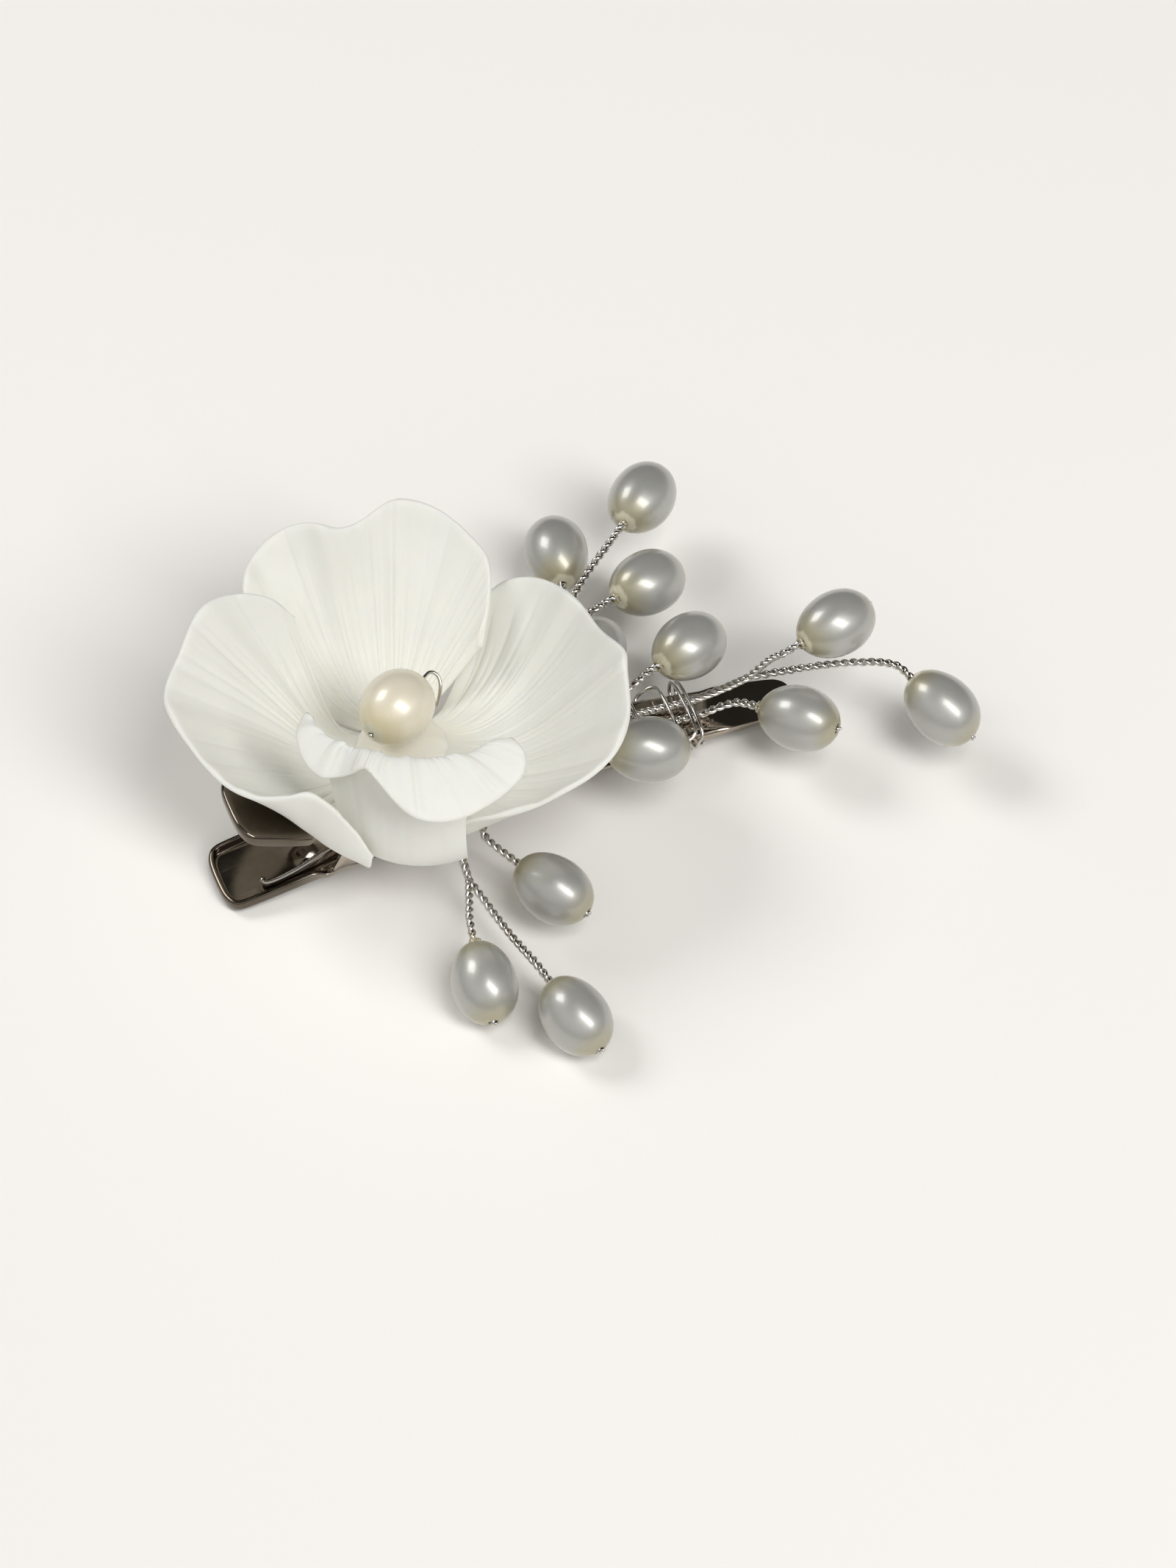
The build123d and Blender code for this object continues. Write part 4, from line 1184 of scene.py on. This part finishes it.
def ear(foot_z, y_inner, foot_half, radius, hole, sheet):
    """An ear plate with a hole for the pin, tapering to a round end about it."""
    side = 1 if foot_z < PIN.z else -1
    foot = foot_z - PIN.z
    reach = math.hypot(foot_half, foot)
    turn = math.atan2(abs(foot), foot_half) - math.asin(radius / reach)
    touch = math.pi / 2 - turn
    arc = [(radius * math.sin(a), side * radius * math.cos(a))
           for a in np.linspace(-touch, touch, 17)]
    outline = [(-foot_half, foot)] + arc + [(foot_half, foot)]
    bevel = 0.12
    profile = [(0.0, bevel, 0.0), (0.0, 0.0, bevel), (0.0, 0.0, sheet - bevel),
               (0.0, bevel, sheet), (1.0, bevel, sheet), (1.0, 0.0, sheet - bevel),
               (1.0, 0.0, bevel), (1.0, bevel, 0.0)]
    rings = []
    count = 96
    for k in range(count):
        angle = 2 * math.pi * k / count
        ray = Vector((math.cos(angle), math.sin(angle)))
        edge = radius
        for (x0, z0), (x1, z1) in zip(outline, outline[1:] + outline[:1]):
            span = Vector((x1 - x0, z1 - z0))
            cross = ray.x * span.y - ray.y * span.x
            if abs(cross) < 1e-9:
                continue
            far = (x0 * span.y - z0 * span.x) / cross
            share = (x0 * ray.y - z0 * ray.x) / cross
            if far > 0 and -1e-6 <= share <= 1 + 1e-6:
                edge = far
        ring = []
        for inner, inset, y in profile:
            r = hole + inset if inner else edge - inset
            ring.append(at(PIN.x + ray.x * r, y_inner + y, PIN.z + ray.y * r))
        rings.append(ring)
    return wrapped(rings, closed_along=True)


LOWER_STATIONS = [(-20.0, 4.0), (-18.5, 4.25), (-10.0, 4.25), (-2.4, 4.25), (3.0, 3.15),
                  (20.0, 2.85), (43.0, 1.85)]
UPPER_STATIONS = [(-18.0, 4.15), (-16.5, 4.4), (-11.0, 4.4), (-9.2, 3.55), (-2.6, 3.55),
                  (1.0, 3.9), (20.0, 3.7), (43.0, 2.65)]
FIXED_EAR = 3.65        # inner face of a fixed ear
MOVING_EAR = 2.9        # inner face of a moving ear
RUNNING_GAP = 0.05      # the moving ears' holes are this much wider than the pin, in radius


def lower_rim(x, tab_rim):
    """Rim height of the lower arm: a deep tray at the tab, a low rim along the jaw."""
    tab = tab_rim * (1 - float(ease(-11.4, -9.6, x)))
    jaw = 0.35 * float(ease(2.4, 4.4, x)) * (1 - float(ease(36.5, 38.5, x)))
    return tab + jaw


def upper_rim(x, tab_rim):
    tab = tab_rim * (1 - float(ease(-11.8, -10.6, x)))
    jaw = JAW_RIM * float(ease(0.4, 2.0, x)) * (1 - float(ease(35.0, 37.0, x)))
    return tab + jaw


def ear_pair(foot_z, y_inner, foot_half, radius, hole, sheet):
    near = ear(foot_z, -y_inner - sheet, foot_half, radius, hole, sheet)
    far = ear(foot_z, y_inner, foot_half, radius, hole, sheet)
    return joined(near, far)


class ClipBuildLowerArm(bpy.types.Operator):
    """Press the lower arm with its tray-shaped finger tab, ears and jaw"""
    bl_idname = "hair_clip.build_lower_arm"
    bl_label = "Lower arm"

    def execute(self, context):
        sizes = context.scene.hair_clip.arm
        sheet, tab_rim = sizes.sheet / MM, sizes.lower_rim / MM
        tray = channel(arm_outline(LOWER_STATIONS, 1.0, 1.9), lower_z,
                       lambda x: lower_rim(x, tab_rim), sheet, 1, (-11.4, -0.9, 0.9, 0.3))
        ears = ear_pair(2.45, FIXED_EAR, 3.4, sizes.ear_radius / MM, sizes.pin_radius / MM, sheet)
        piece("pressed_lower_arm", *joined(tray, ears), at(*PIN), "lower_body", "clip_metal",
              ["lower_arm"], "clip plating")
        return {"FINISHED"}


class ClipBuildUpperArm(bpy.types.Operator):
    """Press the upper arm with its finger tab, ears and jaw"""
    bl_idname = "hair_clip.build_upper_arm"
    bl_label = "Upper arm"

    def execute(self, context):
        sizes = context.scene.hair_clip.arm
        sheet, tab_rim = sizes.sheet / MM, sizes.upper_rim / MM
        tray = channel(arm_outline(UPPER_STATIONS, 1.0, 2.0), upper_z,
                       lambda x: upper_rim(x, tab_rim), sheet, -1)
        ears = ear_pair(7.6, MOVING_EAR, 2.6, sizes.ear_radius / MM,
                        sizes.pin_radius / MM + RUNNING_GAP, sheet)
        piece("pressed_upper_arm", *joined(tray, ears), at(*PIN), "upper_body", "clip_metal",
              ["upper_arm"], "clip plating")
        return {"FINISHED"}


HEAD_SEAT = 4.25        # the inner face of a riveted head, from the middle of the pin
HEAD_HEIGHT = 0.4
AROUND = 64             # points round the pin


class ClipBuildPin(bpy.types.Operator):
    """Turn the hinge pin with its two riveted heads"""
    bl_idname = "hair_clip.build_pin"
    bl_label = "Hinge pin"

    def execute(self, context):
        sizes = context.scene.hair_clip.arm
        head, shaft = sizes.rivet_radius, sizes.pin_radius
        seat, cap = HEAD_SEAT * MM, HEAD_HEIGHT * MM
        dome = [(seat + cap * math.sin(t), head * (0.35 + 0.65 * math.cos(t)) if t > 0 else head)
                for t in np.linspace(0, math.pi / 2, 7)]
        half = [(seat, shaft)] + dome + [(seat + cap * 0.86, head * 0.12), (seat + cap * 0.8, 0.0)]
        profile = [(-x, r) for x, r in reversed(half)] + half
        rings = []
        for x, r in profile:
            rings.append([at(*PIN) + Vector((r * math.cos(t), x, r * math.sin(t)))
                          for t in np.arange(AROUND) * 2 * math.pi / AROUND])
        piece("riveted_pin", *wrapped(rings), at(*PIN), "lower_body", "pin_metal", ["hinge_pin"],
              "pin steel")
        return {"FINISHED"}


COIL_RADIUS = 1.5
COIL_HALF = 1.7         # half the coil's length along the pin
COIL_TURNS = 4.5
POINTS_A_TURN = 36
LEG_GAP = 0.42          # a leg's axis is this far from the sheet it presses on


class ClipBuildSpring(bpy.types.Operator):
    """Coil the torsion spring and lay its two legs under the tabs"""
    bl_idname = "hair_clip.build_spring"
    bl_label = "Torsion spring"

    def execute(self, context):
        wire = context.scene.hair_clip.wire.spring
        radius, half = COIL_RADIUS, COIL_HALF
        coil = []
        count = int(COIL_TURNS * POINTS_A_TURN)
        for k in range(count + 1):
            angle = -math.pi / 2 + 2 * math.pi * COIL_TURNS * k / count
            coil.append(at(PIN.x + radius * math.cos(angle), -half + 2 * half * k / count,
                           PIN.z + radius * math.sin(angle)))
        rest = lower_z(-15.5) + SHEET + 0.37
        lower = [at(-16.3, -1.9, rest + 0.3), at(-16.7, -2.5, rest), at(-15.3, -2.75, rest + 0.1),
                 at(-12.0, -2.6, rest + 0.9), at(-9.0, -2.0, PIN.z - radius - 0.15), coil[0]]
        top = upper_z(-14.5) - LEG_GAP
        upper = [coil[-1], at(-8.0, half, PIN.z + radius + 0.1),
                 at(-11.0, 1.8, upper_z(-11.0) - 0.9), at(-13.4, 1.9, upper_z(-13.4) - LEG_GAP),
                 at(-14.6, 1.9, top)]
        line, _ = evenly(route(lower)[:-1] + coil + route(upper)[1:], 0.16 * MM)
        shape = round_wire(line, rounded_ends(wire / 2, len(line)), sides=14)
        spring = piece("coiled_spring", *shape, at(*PIN), None, "spring_wire",
                       ["torsion_spring"], "spring steel")
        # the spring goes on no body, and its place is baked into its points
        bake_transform(spring)
        return {"FINISHED"}


# ---------------------------------------------------------------------------------------------
# Stage
# ---------------------------------------------------------------------------------------------

AIM = (19.81, -3.75, 2.67)      # the camera and the lights look at this point of the drawing
CAMERA_HEIGHT = math.radians(55.0)
CAMERA_TURN = math.radians(-21.6)
CAMERA_FAR = 0.7        # metres from that point
LENS = 151.2            # millimetres
TABLE_HALF = 1.6        # metres from the table's middle to its edge


def soft_light(name, aim, side, rise, far, width, height, power, tint, roll=0.0):
    """An area light that looks at a point, from a bearing and a rise in degrees."""
    data = bpy.data.lights.new(name, "AREA")
    data.shape = "RECTANGLE"
    data.size = width
    data.size_y = height
    data.energy = power
    data.color = tint
    lamp = bpy.data.objects.new(name, data)
    bearing, rise = math.radians(side), math.radians(rise)
    away = Vector((math.sin(bearing) * math.cos(rise), -math.cos(bearing) * math.cos(rise),
                   math.sin(rise)))
    lamp.location = aim + away * far
    lamp.rotation_euler = (away.to_track_quat("Z", "Y").to_matrix()
                           @ Matrix.Rotation(math.radians(roll), 3, "Z")).to_euler()
    bpy.context.scene.collection.objects.link(lamp)


DARK_SIDE = (0.3, 0.55, 0.78)     # where the studio's dark wall and ceiling are


def studio_world():
    """A plain studio: pale all round but dark high behind, so that metal has contrast."""
    world = bpy.data.worlds.new("studio")
    world.use_nodes = True
    tree = world.node_tree
    towards = add(tree, "ShaderNodeVectorMath",
                  {0: add(tree, "ShaderNodeTexCoord").outputs["Generated"], 1: DARK_SIDE},
                  operation="DOT_PRODUCT")
    ramp = add(tree, "ShaderNodeValToRGB", {"Fac": towards.outputs["Value"]})
    ramp.color_ramp.interpolation = "EASE"
    ramp.color_ramp.elements[0].position = 0.3
    ramp.color_ramp.elements[0].color = (1.0, 0.995, 0.985, 1.0)
    ramp.color_ramp.elements[1].position = 0.72
    ramp.color_ramp.elements[1].color = (0.045, 0.043, 0.04, 1.0)
    rise = add(tree, "ShaderNodeSeparateXYZ",
               {"Vector": add(tree, "ShaderNodeTexCoord").outputs["Generated"]})
    high = add(tree, "ShaderNodeMapRange",
               {"Value": rise.outputs["Z"], "From Min": 0.1, "From Max": 0.6, "To Min": 0.3},
               interpolation_type="SMOOTHSTEP")
    shaded = mixed(tree, high.outputs["Result"], (0.0, 0.0, 0.0, 1.0), ramp.outputs["Color"])
    background = tree.nodes["Background"]
    tree.links.new(shaded, background.inputs["Color"])
    background.inputs["Strength"].default_value = 0.68
    bpy.context.scene.world = world


class ClipBuildStage(bpy.types.Operator):
    """Set the table, the studio light and the camera"""
    bl_idname = "hair_clip.build_stage"
    bl_label = "Stage"

    def execute(self, context):
        scene = context.scene
        aim = at(*AIM)
        material, _, shader = finish("pale table", Roughness=0.85, Specular_IOR_Level=0.1)
        shader.inputs["Base Color"].default_value = solid(scene.hair_clip.colours.floor)
        corners = [(x * TABLE_HALF, y * TABLE_HALF, 0) for x, y in ((-1, -1), (1, -1), (1, 1),
                                                                    (-1, 1))]
        mesh = bpy.data.meshes.new("table")
        mesh.from_pydata(corners, [], [(0, 1, 2, 3)])
        mesh.materials.append(material)
        table = bpy.data.objects.new("table", mesh)
        table.location.z = -0.05 * MM
        scene.collection.objects.link(table)
        soft_light("long soft light", aim, 24, 56, 1.0, 0.34, 0.8, 6.0, (1.0, 0.995, 0.985), 15)
        soft_light("round soft light", aim, -140, 46, 1.0, 0.4, 0.4, 3.3, (1.0, 1.0, 0.995))
        studio_world()
        lens = bpy.data.cameras.new("camera")
        lens.lens = LENS
        lens.sensor_width = 36.0
        lens.clip_start = 0.01
        lens.clip_end = 10.0
        camera = bpy.data.objects.new("camera", lens)
        back = Vector((math.sin(CAMERA_TURN) * math.cos(CAMERA_HEIGHT),
                       -math.cos(CAMERA_TURN) * math.cos(CAMERA_HEIGHT),
                       math.sin(CAMERA_HEIGHT)))
        camera.location = aim + back * CAMERA_FAR
        camera.rotation_euler = back.to_track_quat("Z", "Y").to_euler()
        scene.collection.objects.link(camera)
        scene.camera = camera
        scene.view_settings.view_transform = "Standard"
        return {"FINISHED"}


class ClipBuildFinishes(bpy.types.Operator):
    """Mix the finishes that every piece takes"""
    bl_idname = "hair_clip.build_finishes"
    bl_label = "Finishes"

    def execute(self, context):
        make_finishes(context.scene.hair_clip.colours)
        return {"FINISHED"}


# ---------------------------------------------------------------------------------------------
# Panel and registration
# ---------------------------------------------------------------------------------------------

SIZE_GROUPS = (ClipFlowerSizes, ClipPearlSizes, ClipWireSizes, ClipArmSizes, ClipColours, ClipLook)
STEPS = (ClipBuildFinishes, ClipBuildPetals, ClipBuildCore, ClipBuildPearls, ClipBuildStems,
         ClipBuildTrunks, ClipBuildBinding, ClipBuildCentreWire, ClipBuildGlue, ClipBuildLowerArm,
         ClipBuildUpperArm, ClipBuildPin, ClipBuildSpring, ClipBuildStage)


class ClipPanel(bpy.types.Panel):
    """Sizes, colours and building steps of the flower hair clip"""
    bl_idname = "VIEW3D_PT_hair_clip"
    bl_label = "Flower hair clip"
    bl_space_type = "VIEW_3D"
    bl_region_type = "UI"
    bl_category = "Hair clip"

    def draw(self, context):
        look = context.scene.hair_clip
        for group in (look.flower, look.pearl, look.wire, look.arm, look.colours):
            box = self.layout.box()
            for field in group.bl_rna.properties:
                if field.identifier not in {"rna_type", "name"}:
                    box.prop(group, field.identifier)
        for step in STEPS:
            self.layout.operator(step.bl_idname)


def register():
    for entry in (*SIZE_GROUPS, *STEPS, ClipPanel):
        bpy.utils.register_class(entry)
    bpy.types.Scene.hair_clip = PointerProperty(type=ClipLook, name="Flower hair clip",
                                                description="Sizes and colours of the clip")


def unregister():
    del bpy.types.Scene.hair_clip
    for entry in reversed((*SIZE_GROUPS, *STEPS, ClipPanel)):
        bpy.utils.unregister_class(entry)


def main():
    """Builds the whole clip and its stage."""
    register()
    for step in STEPS:
        family, action = step.bl_idname.split(".")
        getattr(getattr(bpy.ops, family), action)()


if __name__ == "__main__":
    main()
